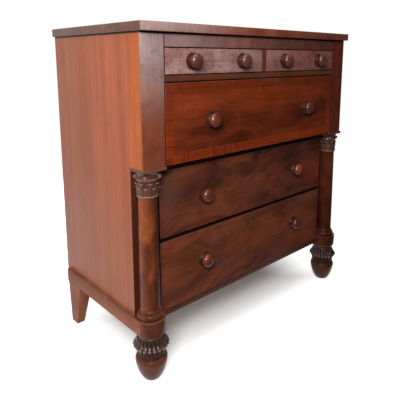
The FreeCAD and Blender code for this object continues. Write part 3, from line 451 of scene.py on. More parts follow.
# A darker copy of the post veneer for the right post: a painted shade for the light that falls off to the right.
shaded_post_veneer = wood_finish(
    "shaded_post_veneer", ALONG_Z, [(0.090, 0.018, 0.009), (0.150, 0.028, 0.012), (0.200, 0.038, 0.016)], middle=0.6,
    figure=0.45, size=2.4, mottle=0.3, shift=(0.4, 0.2, 0.7), rough=0.45, gloss=0.06, relief=0.5, shade=UNDER_TOP)
print("post veneers", post_veneer.name, shaded_post_veneer.name)


# %% [markdown]
# ## The edge of the top and the rails
# The edge of the top and the rail under it are covered crosswise, in short blocks whose grain stands upright. Seams
# between the blocks could be modelled. A cell pattern, drawn out so that its cells stand side by side, is simpler and
# gives each block its own tone.

# %% Edge and rail veneers
def block_dress(spot, colour, dark=(0.075, 0.026, 0.019), grey=0.5):
    """Short blocks side by side, each a little lighter, darker or greyer than the next."""
    across = spot.stretch((6.0, 0.4, 0.6), shift=(3.3, 0, 0))
    cells = spot.to("ShaderNodeTexVoronoi", {"Vector": across, "Scale": 1.0, "Randomness": 0.9}, "Color")
    colour = colour.mix(cells.axis("X").spread(0.1, 0.9, 0.0, 0.75), dark)
    return colour.mix(cells.axis("Y").spread(0.4, 0.8, 0.0, grey), (0.105, 0.072, 0.055))


def left_bloom_and_sheen(spot, colour, share):
    """Polish gone milky by the left corner, clear again before the middle; the pale colour is also a painted sheen."""
    # Painted bloom and sheen, fading towards the middle.
    return colour.mix(spot.axis("X").spread(-0.54, -0.06, share, 0.0), (0.44, 0.310, 0.295))


def edge_dress(spot, colour):
    """The edge of the top is red where the polish is clear."""
    return left_bloom_and_sheen(spot, block_dress(spot, colour, (0.16, 0.043, 0.026), 0.0), 0.82)


def rail_dress(spot, colour):
    """The rail under the top grows darker and redder to the right, a painted shade for the light that falls off there.
    """
    # Painted shade: darker to the right, where less light falls.
    right = spot.axis("X").spread(-0.3, 0.3, 0.2, 1.0)
    return left_bloom_and_sheen(spot, block_dress(spot, colour).mix(right, (0.78, 0.56, 0.42), "MULTIPLY"), 0.6)


edge_veneer = wood_finish(
    "edge_veneer", ALONG_Z, [(0.19, 0.046, 0.026), (0.265, 0.065, 0.035), (0.34, 0.086, 0.046)],
    mottle=0.25, gloss=0.3, fibre=0.5, grime=0.4, dress=edge_dress)
end_veneer = wood_finish(
    "end_veneer", ALONG_Z, [(0.10, 0.040, 0.028), (0.21, 0.085, 0.058)],
    mottle=0.25, gloss=0.4, fibre=0.5, grime=0.4)
rail_veneer = wood_finish(
    "rail_veneer", ALONG_Z, [(0.17, 0.070, 0.052), (0.27, 0.116, 0.090), (0.36, 0.155, 0.118)],
    mottle=0.4, shift=(0.7, 0, 0), gloss=0.2, dress=rail_dress, shade=UNDER_TOP)
print("crosswise veneers", edge_veneer.name, end_veneer.name, rail_veneer.name)

# %% Top and frame wood
top_wood = wood_finish(
    "top_wood", ALONG_X, [(0.16, 0.046, 0.022), (0.25, 0.070, 0.031), (0.33, 0.095, 0.042)],
    figure=0.25, rough=0.38, uneven=0.25)
frame_wood = wood_finish(
    "frame_wood", ALONG_X, [(0.070, 0.022, 0.012), (0.140, 0.040, 0.020)],
    shift=(0.2, 0.4, 0), rough=0.45, gloss=0.2)
divider_wood = wood_finish(
    "divider_wood", ALONG_Z, [(0.13, 0.033, 0.014), (0.21, 0.052, 0.020)], rough=0.42, gloss=0.2)
print("plain woods", top_wood.name, frame_wood.name, divider_wood.name)

# %% [markdown]
# ## The small drawers
# Each front was laid with its own sheet of veneer. The small drawers are a greyed, mottled brown with dark specks. The
# bloom on them is that of the posts, in soft clouds, and it grows weaker to the right; like that of the posts it paints
# both bloom and a sheen of light.

# %% Small drawer veneer
# Where the fronts of the upper and the lower stage stand, along Y.
UPPER_DEPTH, LOWER_DEPTH = -0.2585, -0.2175


def small_dress(spot, colour):
    """A grey bloom like that of the posts, stronger on the left drawer, that also paints a sheen, and one red patch by
    the last knob.
    """
    patch = spot.warp(30.0, 0.02).near((0.272, UPPER_DEPTH, 1.066), (0.034, 0.4, 0.013))
    colour = colour.mix(patch * 0.8, (0.27, 0.05, 0.018))
    # Painted bloom and sheen: soft clouds of pale grey, fading to the right.
    cloudy = spot.warp(8.0, 0.08).stretch((14, 14, 22)).noise(1.0, 4.0, 0.6).spread(0.34, 0.62, 0.45, 1.0)
    colour = colour.mix(spot.axis("X").spread(-0.30, 0.32, 0.92, 0.26) * cloudy, (0.46, 0.292, 0.268))
    specks = spot.stretch((80, 80, 110)).noise(1.0, 4.0, 0.65).spread(0.46, 0.66, 0.0, 0.6)
    return colour.mix(specks, (0.55, 0.50, 0.48), "MULTIPLY")


small_veneer = wood_finish(
    "small_veneer", ALONG_X, [(0.125, 0.029, 0.014), (0.195, 0.044, 0.018), (0.260, 0.057, 0.021)],
    figure=0.6, size=2.2, mottle=0.6, rough=0.36, gloss=0.12, uneven=0.3, relief=0.35, dress=small_dress)
print("veneer", small_veneer.name)


# %% [markdown]
# ## Plumes and pools
# The large sheets were cut where a trunk forks, so their grain fans out in plumes. Noise that is drawn out one way and
# then bent gives such lines. The broad lights and darks could be left to chance too, but on a real sheet each has its
# own place, so they are soft pools with a place and a reach.

# %% Plumes and pools
def plumes(spot, colour, lean, glow, share):
    """Fine curved lines, as in wood cut across a fork: a redder light and a smoky dark in turn."""
    turned = spot.warp(2.6, 0.34).stretch(turn=(0, math.radians(lean), 0))
    lines = turned.stretch((3.0, 1.0, 30.0)).noise(1.0, 4.0, 0.6)
    colour = colour.mix(lines.spread(0.34, 0.52, share, 0.0), (0.50, 0.48, 0.47), "MULTIPLY")
    return colour.mix(lines.spread(0.5, 0.68, 0.0, share * 0.67), glow)


def pools(spot, colour, depth, rows):
    """Soft pools of colour in a front. A row gives the place and the reach across and up, the share and the colour."""
    for (x, z), (wide, high), share, glow in rows:
        colour = colour.mix(spot.near((x, depth, z), (wide, 1, high)) * share, glow)
    return colour


# %% [markdown]
# ## The fall
# The fall is a deep red-brown sheet inside a border of crossband, whose grain points at the middle of the panel. The
# shader measures how far a spot is from the edges of the panel, so the border needs no seams in the mesh.

# %% Fall veneer
fall_low, fall_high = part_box("fall_front")
fall_middle = (fall_low + fall_high) / 2
BAND, BAND_SEAM = 34 * MM, 1.2 * MM
FALL_POOLS = (
    ((0.03, 0.945), (0.42, 0.10), 0.75, (0.24, 0.036, 0.007)),
    ((0.34, 0.93), (0.16, 0.08), 0.55, (0.21, 0.029, 0.005)),
    ((-0.36, 0.92), (0.18, 0.09), 0.75, (0.25, 0.044, 0.013)),
    ((-0.20, 0.80), (0.40, 0.09), 0.8, (0.070, 0.014, 0.006)),
    ((-0.24, 0.86), (0.13, 0.08), 0.6, (0.074, 0.015, 0.007)),
    ((0.24, 0.855), (0.20, 0.08), 0.7, (0.074, 0.013, 0.005)),
    ((0.30, 0.79), (0.26, 0.06), 0.6, (0.24, 0.034, 0.006)),
)


def fall_dress(spot, colour):
    """A glowing field, and a crossband round it."""
    colour = pools(spot.warp(5.0, 0.10), colour, UPPER_DEPTH, FALL_POOLS)
    colour = plumes(spot.stretch(shift=(0.3, 0.6, 0.9)), colour, 4.0, (0.27, 0.042, 0.012), 0.5)
    x, z = spot.axis("X"), spot.axis("Z")
    rise = z - fall_middle.z
    from_end = (fall_high.x - fall_low.x) / 2 - x.maths("ABSOLUTE")
    from_edge = (fall_high.z - fall_low.z) / 2 - rise.maths("ABSOLUTE")
    band = from_end.maths("MINIMUM", from_edge).spread(BAND, BAND + BAND_SEAM, 0.8, 0.0)
    upright = from_edge.maths("LESS_THAN", from_end)
    stripes = spot.to("ShaderNodeCombineXYZ", {0: z.fade(upright, x), 2: x.fade(upright, z)})
    ribs = stripes.stretch((75, 1, 5)).noise(detail=4.0, rough=0.6)
    crossband = ribs.ramp([(0.3, (0.13, 0.018, 0.005)), (0.5, (0.24, 0.032, 0.008)), (0.7, (0.35, 0.050, 0.012))])
    crossband = crossband.mix(rise.spread(-0.06, 0.10, 0.0, 0.6), (0.095, 0.018, 0.007))
    bright_end = x.spread(-0.2, 0.4, 0.0, 0.7) * rise.spread(-0.09, 0.0, 1.0, 0.0)
    return colour.mix(band, crossband.mix(bright_end, (0.40, 0.058, 0.009)))


fall_veneer = wood_finish(
    "fall_veneer", ALONG_X, [(0.095, 0.017, 0.007), (0.165, 0.029, 0.010), (0.235, 0.042, 0.014)],
    figure=0.45, size=1.4, mottle=0.15, rough=0.36, gloss=0.04, relief=0.2, fibre=0.35, dress=fall_dress)
print("veneer", fall_veneer.name, "round", [round(v, 3) for v in fall_middle])

# %% [markdown]
# ## The long drawers
# The long drawers are plumed, with dark smoke and redder pools that differ from the one to the other. One function
# makes the dress of both, and takes what differs.

# %% Long drawer veneers
MIDDLE_POOLS = (
    ((-0.33, 0.60), (0.15, 0.12), 0.75, (0.050, 0.017, 0.010)),
    ((-0.45, 0.64), (0.12, 0.16), 0.75, (0.085, 0.040, 0.028)),
    ((0.24, 0.61), (0.14, 0.10), 0.5, (0.045, 0.011, 0.005)),
    ((0.42, 0.56), (0.20, 0.13), 0.75, (0.27, 0.050, 0.019)),
    ((-0.02, 0.56), (0.30, 0.07), 0.55, (0.19, 0.046, 0.021)),
    ((0.10, 0.66), (0.26, 0.05), 0.5, (0.13, 0.028, 0.011)),
)
BOTTOM_POOLS = (
    ((-0.33, 0.36), (0.15, 0.10), 0.5, (0.055, 0.016, 0.008)),
    ((0.05, 0.38), (0.30, 0.08), 0.7, (0.25, 0.055, 0.020)),
    ((0.34, 0.32), (0.26, 0.12), 0.6, (0.27, 0.060, 0.026)),
)
PLUME_GLOW = (0.23, 0.054, 0.021)


def plumed(shift, lean, rows):
    """A dress for a long drawer: plumes that lean, and then its own pools of dark smoke and redder light."""
    def dress(spot, colour):
        colour = plumes(spot.stretch(shift=shift), colour, lean, PLUME_GLOW, 0.6)
        return pools(spot.warp(3.0, 0.22), colour, LOWER_DEPTH, rows)

    return dress


middle_veneer = wood_finish(
    "middle_veneer", ALONG_X, [(0.058, 0.021, 0.013), (0.134, 0.039, 0.020), (0.236, 0.061, 0.027)],
    figure=0.85, size=1.5, mottle=0.12, shift=(0.15, 0.3, 0.45), rough=0.38, gloss=0.08, fibre=0.25,
    dress=plumed((0, 0, 0), 24.0, MIDDLE_POOLS))
bottom_veneer = wood_finish(
    "bottom_veneer", ALONG_X, [(0.084, 0.028, 0.017), (0.160, 0.046, 0.024), (0.250, 0.066, 0.029)],
    figure=0.75, size=1.1, mottle=0.12, shift=(0.5, 0.9, 0.1), gloss=0.06,
    dress=plumed((0.7, 0.2, 0.4), 14.0, BOTTOM_POOLS))
print("veneers", middle_veneer.name, bottom_veneer.name)

# %% [markdown]
# ## Turned wood
# The columns are veneered with a mottled flame. The half of a shaft that faces the drawers is darkened, and the right
# column and foot are darker than the left: both are painted shade. Masks on the place of a spot darken one finish for
# both, which saves a second, shaded set.

# %% Turned wood
def painted_shade_right(spot, colour):
    """The right column and its foot are darker than the left ones, most of all low down: a painted shade for the light
    that falls off to the right.
    """
    share = spot.axis("Z").spread(0.25, 0.65, 0.75, 0.42) * spot.axis("X").maths("GREATER_THAN", 0.0)
    return colour.mix(share, (0.35, 0.28, 0.26), "MULTIPLY")


def column_dress(spot, colour):
    """The half of a shaft that faces the drawers is darker: a painted shade."""
    # Painted shade on the half of the shaft that faces the drawers.
    inner = spot.axis("X").maths("ABSOLUTE").spread(0.497, 0.553, 0.95, 0.0)
    return painted_shade_right(spot, colour.mix(inner, (0.48, 0.44, 0.42), "MULTIPLY"))


column_wood = wood_finish(
    "column_wood", ALONG_Z, [(0.110, 0.031, 0.014), (0.215, 0.054, 0.020), (0.37, 0.094, 0.030)],
    figure=0.85, size=2.2, mottle=0.25, rough=0.30, gloss=0.12, fibre=0.2, dress=column_dress)
turned_wood = wood_finish(
    "turned_wood", ALONG_Z, [(0.079, 0.025, 0.013), (0.125, 0.038, 0.018), (0.178, 0.053, 0.023)],
    figure=0.4, size=3.0, rough=0.26, gloss=0.12, grime=0.5, dress=painted_shade_right)
foot_wood = wood_finish(
    "foot_wood", ALONG_Z, [(0.235, 0.080, 0.040), (0.33, 0.114, 0.054)],
    rough=0.5, gloss=0.08, grime=0.4)
# Its edge colour is dark, so the eased top edge of a plinth strip reads dark.
strip_along = wood_finish(
    "strip_along", ALONG_Y, [(0.19, 0.060, 0.028), (0.29, 0.094, 0.042)],
    rough=0.48, gloss=0.1, grime=0.4, worn=(0.11, 0.045, 0.024), wear=0.95)
print("woods of columns and feet", column_wood.name, turned_wood.name, foot_wood.name, strip_along.name)


# %% [markdown]
# ## Carved wood
# Carved wood holds dark polish in its hollows and is rubbed bright on its high points; the finish adds to both, a
# painted shade in the hollows and a painted highlight on the high points. The angle between faces could tell them
# apart, but only roughly. A mesh attribute, which each carving notes while it is made, is exact.

# %% Carved wood
def carved_dress(spot, colour):
    """Dark in the hollows, with old polish and painted shade, and pale on the high points, rubbed and with a painted
    highlight.
    """
    high = spot.attribute("raised")
    # Old polish and painted shade in the hollows.
    colour = colour.mix(high.spread(0.0, 0.5, 0.92, 0.0), (0.020, 0.010, 0.007))
    # Rubbed wear and a painted highlight on the high points.
    colour = colour.mix(high.spread(0.68, 1.0, 0.0, 0.72), (0.40, 0.235, 0.170))
    return painted_shade_right(spot, colour)


# A dark brown for the cup under a foot's collar: a painted shade for the shadow the petals cast.
painted_cup_shade = wood_finish(
    "painted_cup_shade", ALONG_Z, [(0.040, 0.017, 0.011), (0.075, 0.030, 0.018)],
    gloss=0.12, grime=0.5, mottle=0.4, size=2.0, dress=painted_shade_right)
slab_wood = wood_finish(
    "slab_wood", ALONG_X, [(0.125, 0.052, 0.034), (0.195, 0.080, 0.052)],
    rough=0.45, gloss=0.12, grime=0.4, dress=painted_shade_right)
carved_wood = wood_finish(
    "carved_wood", ALONG_Z, [(0.066, 0.026, 0.016), (0.115, 0.044, 0.025)],
    rough=0.24, gloss=0.36, grime=0.4, mottle=0.4, size=2.0, dress=carved_dress)
capital_wood = wood_finish(
    "capital_wood", ALONG_Z, [(0.105, 0.042, 0.026), (0.18, 0.070, 0.042)],
    rough=0.24, gloss=0.3, grime=0.4, mottle=0.4, size=2.0, dress=carved_dress)
print("carved woods", painted_cup_shade.name, slab_wood.name, carved_wood.name, capital_wood.name)


# %% [markdown]
# ## Knobs and hidden wood
# The knobs are the glossiest pieces, so they show the lamps. Inside, the drawers and boards are bare softwood, and the
# gallery is a lighter cabinet wood.

# %% Knob wood
def knob_dress(spot, colour):
    """The knobs of the small drawers share a little of the bloom of their fronts."""
    return colour.mix(spot.axis("Z").spread(0.98, 1.0, 0.0, 0.65), (0.078, 0.034, 0.025))


knob_wood = wood_finish(
    "knob_wood", ALONG_Y, [(0.080, 0.017, 0.008), (0.155, 0.030, 0.011), (0.260, 0.050, 0.016)],
    rough=0.30, gloss=0.6, uneven=0.1, grime=0.3, relief=0.1, wear=0.3, dress=knob_dress)
ring_wood = wood_finish(
    "ring_wood", ALONG_Y, [(0.034, 0.011, 0.006), (0.080, 0.024, 0.012)],
    rough=0.22, gloss=0.25, uneven=0.1, grime=0.3, relief=0.1, wear=0.3)
print("knob woods", knob_wood.name, ring_wood.name)

# %% Hidden wood
bare_wood = wood_finish(
    "bare_wood", ALONG_Y, [(0.36, 0.22, 0.105), (0.46, 0.30, 0.155), (0.54, 0.37, 0.20)], middle=0.6,
    rough=0.68, gloss=0.25, grime=0.4, worn=(0.5, 0.34, 0.19), relief=0.35)
board_wood = wood_finish(
    "board_wood", ALONG_X, [(0.25, 0.145, 0.070), (0.35, 0.215, 0.108), (0.43, 0.28, 0.145)], middle=0.6,
    rough=0.75, gloss=0.2, grime=0.6, fibre=0.45, worn=(0.4, 0.26, 0.14), relief=0.4)
gallery_wood = wood_finish(
    "gallery_wood", ALONG_Y, [(0.30, 0.125, 0.052), (0.40, 0.180, 0.078), (0.48, 0.235, 0.110)], middle=0.6,
    rough=0.45, gloss=0.4, grime=0.3, worn=(0.45, 0.22, 0.11))
print("wood finishes", len(bpy.data.materials))


# %% [markdown]
# ## Brass and iron
# The hinges and stays of the fall are brass that has gone brown in places, and the locks are dull iron. Both are
# metals, so the colour is that of the reflection, and the age shows as cloudy roughness with darker spots.

# %% Metal finishes
def metal_finish(name, clean, stained, rough, spots):
    """An aged metal, clean in places and stained in others."""
    finish, spot = new_finish(name)
    polish = place_group(spot, old_polish, Roughness=rough, Unevenness=0.3)
    cloud = spot.noise(spots, 6.0, 0.65).spread(0.42, 0.68)
    sockets = {"Base Color": cloud.between(clean, stained), "Metallic": 1.0, "Roughness": polish["Roughness"]}
    brushed = spot.stretch((900, 60, 900)).noise(detail=2.0)
    return end_finish(finish, sockets, 0.15, 0.3 * MM, brushed + polish["Height"])


hinge_brass = metal_finish("hinge_brass", (0.62, 0.41, 0.16), (0.22, 0.125, 0.05), 0.34, 60.0)
lock_iron = metal_finish("lock_iron", (0.34, 0.33, 0.31), (0.12, 0.085, 0.06), 0.5, 80.0)
print("metals", hinge_brass.name, lock_iron.name)


# %% [markdown]
# ## Boards with eased edges
# A cabinetmaker takes the sharp arris off every board, and two centuries of dusting round it further. A copy of the
# frame's board, with its triangles joined back into flat faces, is bevelled along the edges that a hand can reach. The
# new faces are marked as worn, for the finishes to find. Edges that lie against another board stay sharp.

# %% Board helpers
SHARP_ANGLE = 0.5


def joined_copy(node):
    """A working copy of a piece of the frame, with its triangles joined into whole faces."""
    work = bmesh.new()
    work.from_mesh(frame["nodes"][node].data)
    bmesh.ops.remove_doubles(work, verts=work.verts, dist=TOUCH)
    bmesh.ops.dissolve_limit(work, angle_limit=math.radians(0.4), verts=work.verts, edges=work.edges)
    return work


def ease(work, width, reach=lambda edge: True, steps=3):
    """Bevel the outward edges that the reach function picks, and mark the new faces."""
    mark = work.faces.layers.float.get("worn_edge") or work.faces.layers.float.new("worn_edge")
    sharp = [
        edge for edge in work.edges
        if len(edge.link_faces) == 2 and edge.calc_face_angle_signed() > SHARP_ANGLE and reach(edge)]
    made = bmesh.ops.bevel(
        work, geom=sharp, offset=width, offset_type="OFFSET", affect="EDGES", segments=steps, profile=0.5,
        material=-1, clamp_overlap=True)
    for face in made["faces"]:
        face[mark] = 1.0


def make_piece(node, ending, work, slot, *finishes, smooth=34):
    """Turn a finished bmesh into a piece that rides with the body of the node it replaces."""
    name = node + ending
    mesh = bpy.data.meshes.new(name)
    work.to_mesh(mesh)
    work.free()
    stale = mesh.attributes.get("custom_normal")
    if stale:
        mesh.attributes.remove(stale)
    for finish in finishes:
        mesh.materials.append(finish)
    mesh.shade_smooth()
    mesh.set_sharp_from_angle(angle=math.radians(smooth))
    piece = bpy.data.objects.new(name, mesh)
    scene.collection.objects.link(piece)
    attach(piece, BODY_OF[node])
    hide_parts(node)
    print(name, len(mesh.polygons), "faces")


def middle_of(edge):
    return (edge.verts[0].co + edge.verts[1].co) / 2


def paint_faces(work, *tests):
    """Faces whose normal passes the first test take the second finish of their piece, and so on."""
    work.normal_update()
    for index, test in enumerate(tests, 1):
        for face in work.faces:
            if test(face.normal):
                face.material_index = index


# %% [markdown]
# ## Top, sides and posts
# The top overhangs all round and takes the knocks, so all its edges are eased. Its grain runs lengthwise above, its
# edges are covered crosswise and its underside takes a near-black painted shade for the shadow under it, so the way
# each face points picks its finish. A post and the side behind it are flush, and only their free corners are eased,
# so that no groove shows between them.

# %% Top
board = joined_copy("top_board")
ease(board, 1.6 * MM)
paint_faces(
    board, lambda normal: abs(normal.z) < 0.7, lambda normal: normal.z < -0.9, lambda normal: abs(normal.x) > 0.7)
make_piece("top_board", "_eased", board, "case_wood", top_wood, edge_veneer, painted_gap_shade, end_veneer)

# %% Sides and posts
SIDES = {"left": -1, "right": 1}
OUTER_SIDE = 0.55
POST_MIDDLE, POST_REACH = 0.94, 0.15
case_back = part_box("left_side")[1].y
case_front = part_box("left_side")[0].y


def post_corner(edge):
    """The upright edges at the front of a post."""
    place = middle_of(edge)
    return place.y < case_front - 30 * MM and abs(place.z - POST_MIDDLE) < POST_REACH


for side, outward in SIDES.items():
    board = joined_copy(side + "_side")
    ease(board, 1.0 * MM, lambda edge: middle_of(edge).y > case_back - TOUCH and abs(middle_of(edge).x) > OUTER_SIDE)
    # The front edge of a side takes the stile wood: a painted shade beside the column.
    paint_faces(board, lambda normal: normal.y < -0.9)
    make_piece(side + "_side", "_eased", board, "case_wood", side_wood, stile_wood_and_shade)

    board = joined_copy(side + "_post")
    ease(board, 1.8 * MM, post_corner)
    # The inner faces of a post take the painted shade of the gap beside the drawers.
    paint_faces(board, lambda normal: normal.x * outward > 0.8, lambda normal: normal.x * outward < -0.1)
    # The right post takes the darker, shaded copy.
    veneer = post_veneer if side == "left" else shaded_post_veneer
    make_piece(side + "_post", "_eased", board, "front_veneer", veneer, strip_wood, painted_gap_shade)

# %% [markdown]
# ## Rails and boards
# Thin rails frame the drawers. Only the edges round their front are eased, and the faces that turn into a gap take a
# near-black painted shade for the shadow in it. Of the boards between the drawers only the front edge shows, so a
# second finish there is enough; on the lower boards and the desk floor it is the same painted shade.

# %% Rails
for node, width, finish, slot in (
    ("top_rail", 1.8, rail_veneer, "front_veneer"),
    ("drawer_rail", 1.8, frame_wood, "front_veneer"),
    ("drawer_divider", 1.4, divider_wood, "front_veneer"),
    ("base_rail", 1.5, frame_wood, "case_wood"),
):
    board = joined_copy(node)
    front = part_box(node)[0].y
    ease(board, width * MM, lambda edge: abs(middle_of(edge).y - front) < TOUCH)
    paint_faces(board, lambda normal: abs(normal.y) < 0.97)
    make_piece(node, "_eased", board, slot, finish, painted_gap_shade)

# %% Board fronts
for node, slot, finish, edge_finish in (
    ("waist_board", "secondary_wood", board_wood, frame_wood),
    ("lower_dust_board", "secondary_wood", board_wood, painted_gap_shade),
    ("bottom_board", "secondary_wood", board_wood, painted_gap_shade),
    ("desk_floor", "case_wood", top_wood, painted_gap_shade),
):
    board = joined_copy(node)
    # The front edges take a second finish; on the lower boards and the desk floor it is the painted shade of a gap.
    paint_faces(board, lambda normal: normal.y < -0.9)
    make_piece(node, "_fronted", board, slot, finish, edge_finish)

# %% [markdown]
# ## Plinth strips and back feet
# The strip round the foot of each side has a moulded upper edge that its finish paints dark. One broad bevel along its
# outer corner stands for the moulding. The back feet are plain square tapers with knocked corners.

# %% Plinth strips
OUTER_STRIP = 0.565
strip_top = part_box("side_plinths")[1].z
board = joined_copy("side_plinths")
ease(board, 6.0 * MM, lambda edge: middle_of(edge).z > strip_top - TOUCH and abs(middle_of(edge).x) > OUTER_STRIP, 4)
make_piece("side_plinths", "_moulded", board, "case_wood", strip_along)

# %% Back feet
FOOT_TOP = 0.17
for side in SIDES:
    foot = joined_copy(side + "_back_foot")
    ease(foot, 2.0 * MM, lambda edge: middle_of(edge).z < FOOT_TOP)
    make_piece(side + "_back_foot", "_eased", foot, "case_wood", foot_wood)

# %% [markdown]
# ## Drawer fronts and the fall
# The fronts are copies of the frame's own, so their keyholes, knob holes and dovetail sockets stay. Only the four
# edges round the show face are eased, and each front is planed a hair smaller all round, as wear leaves it. The fall
# keeps its lower edge, where its hinges are.

# %% Fronts
TRIM, RIM = 1.1 * MM, 0.1 * MM


def outline_of(node):
    """A test for the edges round the front face of a panel."""
    low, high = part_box(node)

    def on_outline(vert):
        inside = low.x + RIM < vert.co.x < high.x - RIM and low.z + RIM < vert.co.z < high.z - RIM
        return abs(vert.co.y - low.y) <= TOUCH and not inside

    return lambda edge: all(on_outline(vert) for vert in edge.verts)


for node, width, finish in (
    ("left_small_drawer_front", 1.0, small_veneer),
    ("right_small_drawer_front", 1.0, small_veneer),
    ("fall_front", 1.2, fall_veneer),
    ("middle_drawer_front", 1.6, middle_veneer),
    ("bottom_drawer_front", 1.6, bottom_veneer),
):
    panel = joined_copy(node)
    ease(panel, width * MM, outline_of(node))
    low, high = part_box(node)
    middle = (low + high) / 2
    if node == "fall_front":
        middle.z = low.z
    trim = Vector((1 - 2 * TRIM / (high.x - low.x), 1, 1 - 2 * TRIM / (high.z - low.z)))
    bmesh.ops.scale(panel, vec=trim, space=Matrix.Translation(-middle), verts=panel.verts)
    # The side faces of a front take the painted shade of the gap round it.
    paint_faces(panel, lambda normal: abs(normal.y) < 0.3)
    make_piece(node, "_eased", panel, "front_veneer", finish, painted_gap_shade)

# %% [markdown]
# ## Turning
# Knobs, columns and feet come off a lathe, and Blender's spin is a lathe: an outline of radius and height pairs is
# turned about an axis. The last turn is merged with the first and the points on the axis are merged too, so that the
# turning is closed.

# %% Lathe
def added(elements, before):
    """The elements that a step has made."""
    return [element for element in elements if element not in before]


def lathe(work, outline, centre, axis, steps=48):
    """Spin an outline of radius and height pairs, in millimetres, about an axis through a point."""
    arm = Vector((1, 0, 0))
    verts = [work.verts.new(centre + arm * radius * MM + axis * height * MM) for radius, height in outline]
    edges = [work.edges.new(pair) for pair in zip(verts, verts[1:])]
    before = set(work.faces)
    bmesh.ops.spin(
        work, geom=verts + edges, cent=centre, axis=axis, dvec=(0, 0, 0), angle=math.tau, steps=steps,
        use_merge=True)
    bmesh.ops.remove_doubles(work, verts=work.verts, dist=1e-6)
    bmesh.ops.recalc_face_normals(work, faces=added(work.faces, before))


def finish_faces(work, pick):
    """Choose by a function which finish of its piece each face takes."""
    for face in work.faces:
        face.material_index = pick(face)


# %% Knobs
KNOB_OUTLINE = (
    (0, 0.2), (26.6, 0.2), (27.5, 1.3), (27.5, 3.6), (26.6, 4.8), (24.0, 5.2), (22.2, 5.6), (21.6, 6.4), (21.5, 8.0),
    (20.6, 9.0), (18.9, 9.2), (18.1, 10.0), (17.9, 11.4), (16.4, 12.1), (14.0, 12.5), (13.1, 13.4), (13.2, 14.8),
    (16.0, 15.2), (20.4, 16.2), (23.4, 17.8), (24.8, 19.8), (25.0, 21.4), (24.4, 24.8), (22.7, 28.2), (20.0, 31.1),
    (16.4, 33.4), (12.2, 34.9), (7.2, 35.7), (3.0, 35.95), (0, 36.0),
)
KNOB_RADIUS, KNOB_LENGTH, KNOB_NECK = 27.5 * MM, 36 * MM, 15.2 * MM
for front in ("left_small_drawer", "right_small_drawer", "fall", "middle_drawer", "bottom_drawer"):
    node = front + "_knobs"
    low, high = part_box(node)
    work = bmesh.new()
    for x in (low.x + KNOB_RADIUS, high.x - KNOB_RADIUS):
        centre = Vector((x, low.y + KNOB_LENGTH, (low.z + high.z) / 2))
        lathe(work, KNOB_OUTLINE, centre, Vector((0, -1, 0)), 40)
    neck = low.y + KNOB_LENGTH - KNOB_NECK
    finish_faces(work, lambda face: 0 if face.calc_center_median().y < neck else 1)
    make_piece(node, "_turned", work, "knob_wood", knob_wood, ring_wood, smooth=40)

# %% [markdown]
# ## Columns
# Each shaft tapers slightly, stands on a round cushion with a small ring over it, and has a flat where it meets the
# case. It is turned whole, and a plane then cuts that flat.

# %% Columns
COLUMN_OUTLINE = (
    (0, 228), (42.5, 228), (44.4, 230), (45.5, 233.6), (45.5, 239), (44.4, 243), (42.2, 245.4), (39.6, 246.0),
    (38.6, 246.6), (36.8, 247.6), (36.2, 249.2), (36.8, 250.8), (38.0, 251.4), (38.5, 252.6), (38.4, 254.0),
    (37.6, 255.0), (36.2, 255.8), (35.0, 257.6), (34.3, 260.6), (34.0, 266), (33.8, 330), (33.2, 450), (32.4, 560),
    (31.7, 630), (31.6, 642), (0, 642),
)
SHAFT_FOOT = 258 * MM


def cut_flat(work, y):
    """Cut away what lies behind a plane, and close the cut."""
    everything = work.verts[:] + work.edges[:] + work.faces[:]
    bmesh.ops.bisect_plane(
        work, geom=everything, dist=1e-6, plane_co=(0, y, 0), plane_no=(0, 1, 0), clear_outer=True)
    rim = [edge for edge in work.edges if edge.is_boundary]
    bmesh.ops.holes_fill(work, edges=rim, sides=0)


UP = Vector((0, 0, 1))
COLUMN_AXIS = {}
for side in SIDES:
    low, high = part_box(side + "_column")
    COLUMN_AXIS[side] = Vector(((low.x + high.x) / 2, low.y + (high.x - low.x) / 2, 0))
for side, centre in COLUMN_AXIS.items():
    work = bmesh.new()
    lathe(work, COLUMN_OUTLINE, centre, UP, 56)
    cut_flat(work, case_front)
    finish_faces(work, lambda face: 1 if face.calc_center_median().z < SHAFT_FOOT else 0)
    make_piece(side + "_column", "_turned", work, "turned_wood", column_wood, turned_wood)

# %% [markdown]
# ## Plinth blocks
# Under each column the plinth swells into a drum. Its upper edge is crisp and its lower edge is rounded in.

# %% Plinth blocks
for side, outward in SIDES.items():
    node = side + "_plinth_block"
    low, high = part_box(node)
    block = joined_copy(node)
    ease(block, 1.2 * MM, lambda edge: min(v.co.z for v in edge.verts) > high.z - TOUCH)
    ease(block, 4.5 * MM, lambda edge: max(v.co.z for v in edge.verts) < low.z + TOUCH
         and middle_of(edge).y < case_front - MM, 4)
    paint_faces(block, lambda normal: normal.x * outward > 0.97)
    make_piece(node, "_eased", block, "turned_wood", turned_wood, strip_along)

# %% [markdown]
# ## Capitals
# The capital is a basket: a ring at its foot, two tiers of leaves under a rim, a curl at each corner of the recess over
# it, and a slab over all. A leaf starts as a flat grid that is bent round the bell, ribbed, notched at its edges and
# curled at its tip, and spin copies it round. A scroll is a disc with a sunk ring on each face. Each vertex notes how
# far it is raised, so that the finish can darken the hollows with old polish and painted shade, and lighten the rings,
# leaf tips and scrolls with a painted highlight.

# %% Copies round a column
def faces_of(verts):
    return list({face for vert in verts for face in vert.link_faces})


def ring_of(work, verts, centre, count):
    """Copy what the verts make, evenly round an upright axis."""
    edges = list({edge for vert in verts for edge in vert.link_edges})
    bmesh.ops.spin(
        work, geom=verts + edges + faces_of(verts), cent=centre, axis=UP, dvec=(0, 0, 0),
        angle=math.tau * (count - 1) / count, steps=count - 1, use_duplicate=True)


# %% Leaves
BELL_FOOT, BELL_HEIGHT = 651, 68


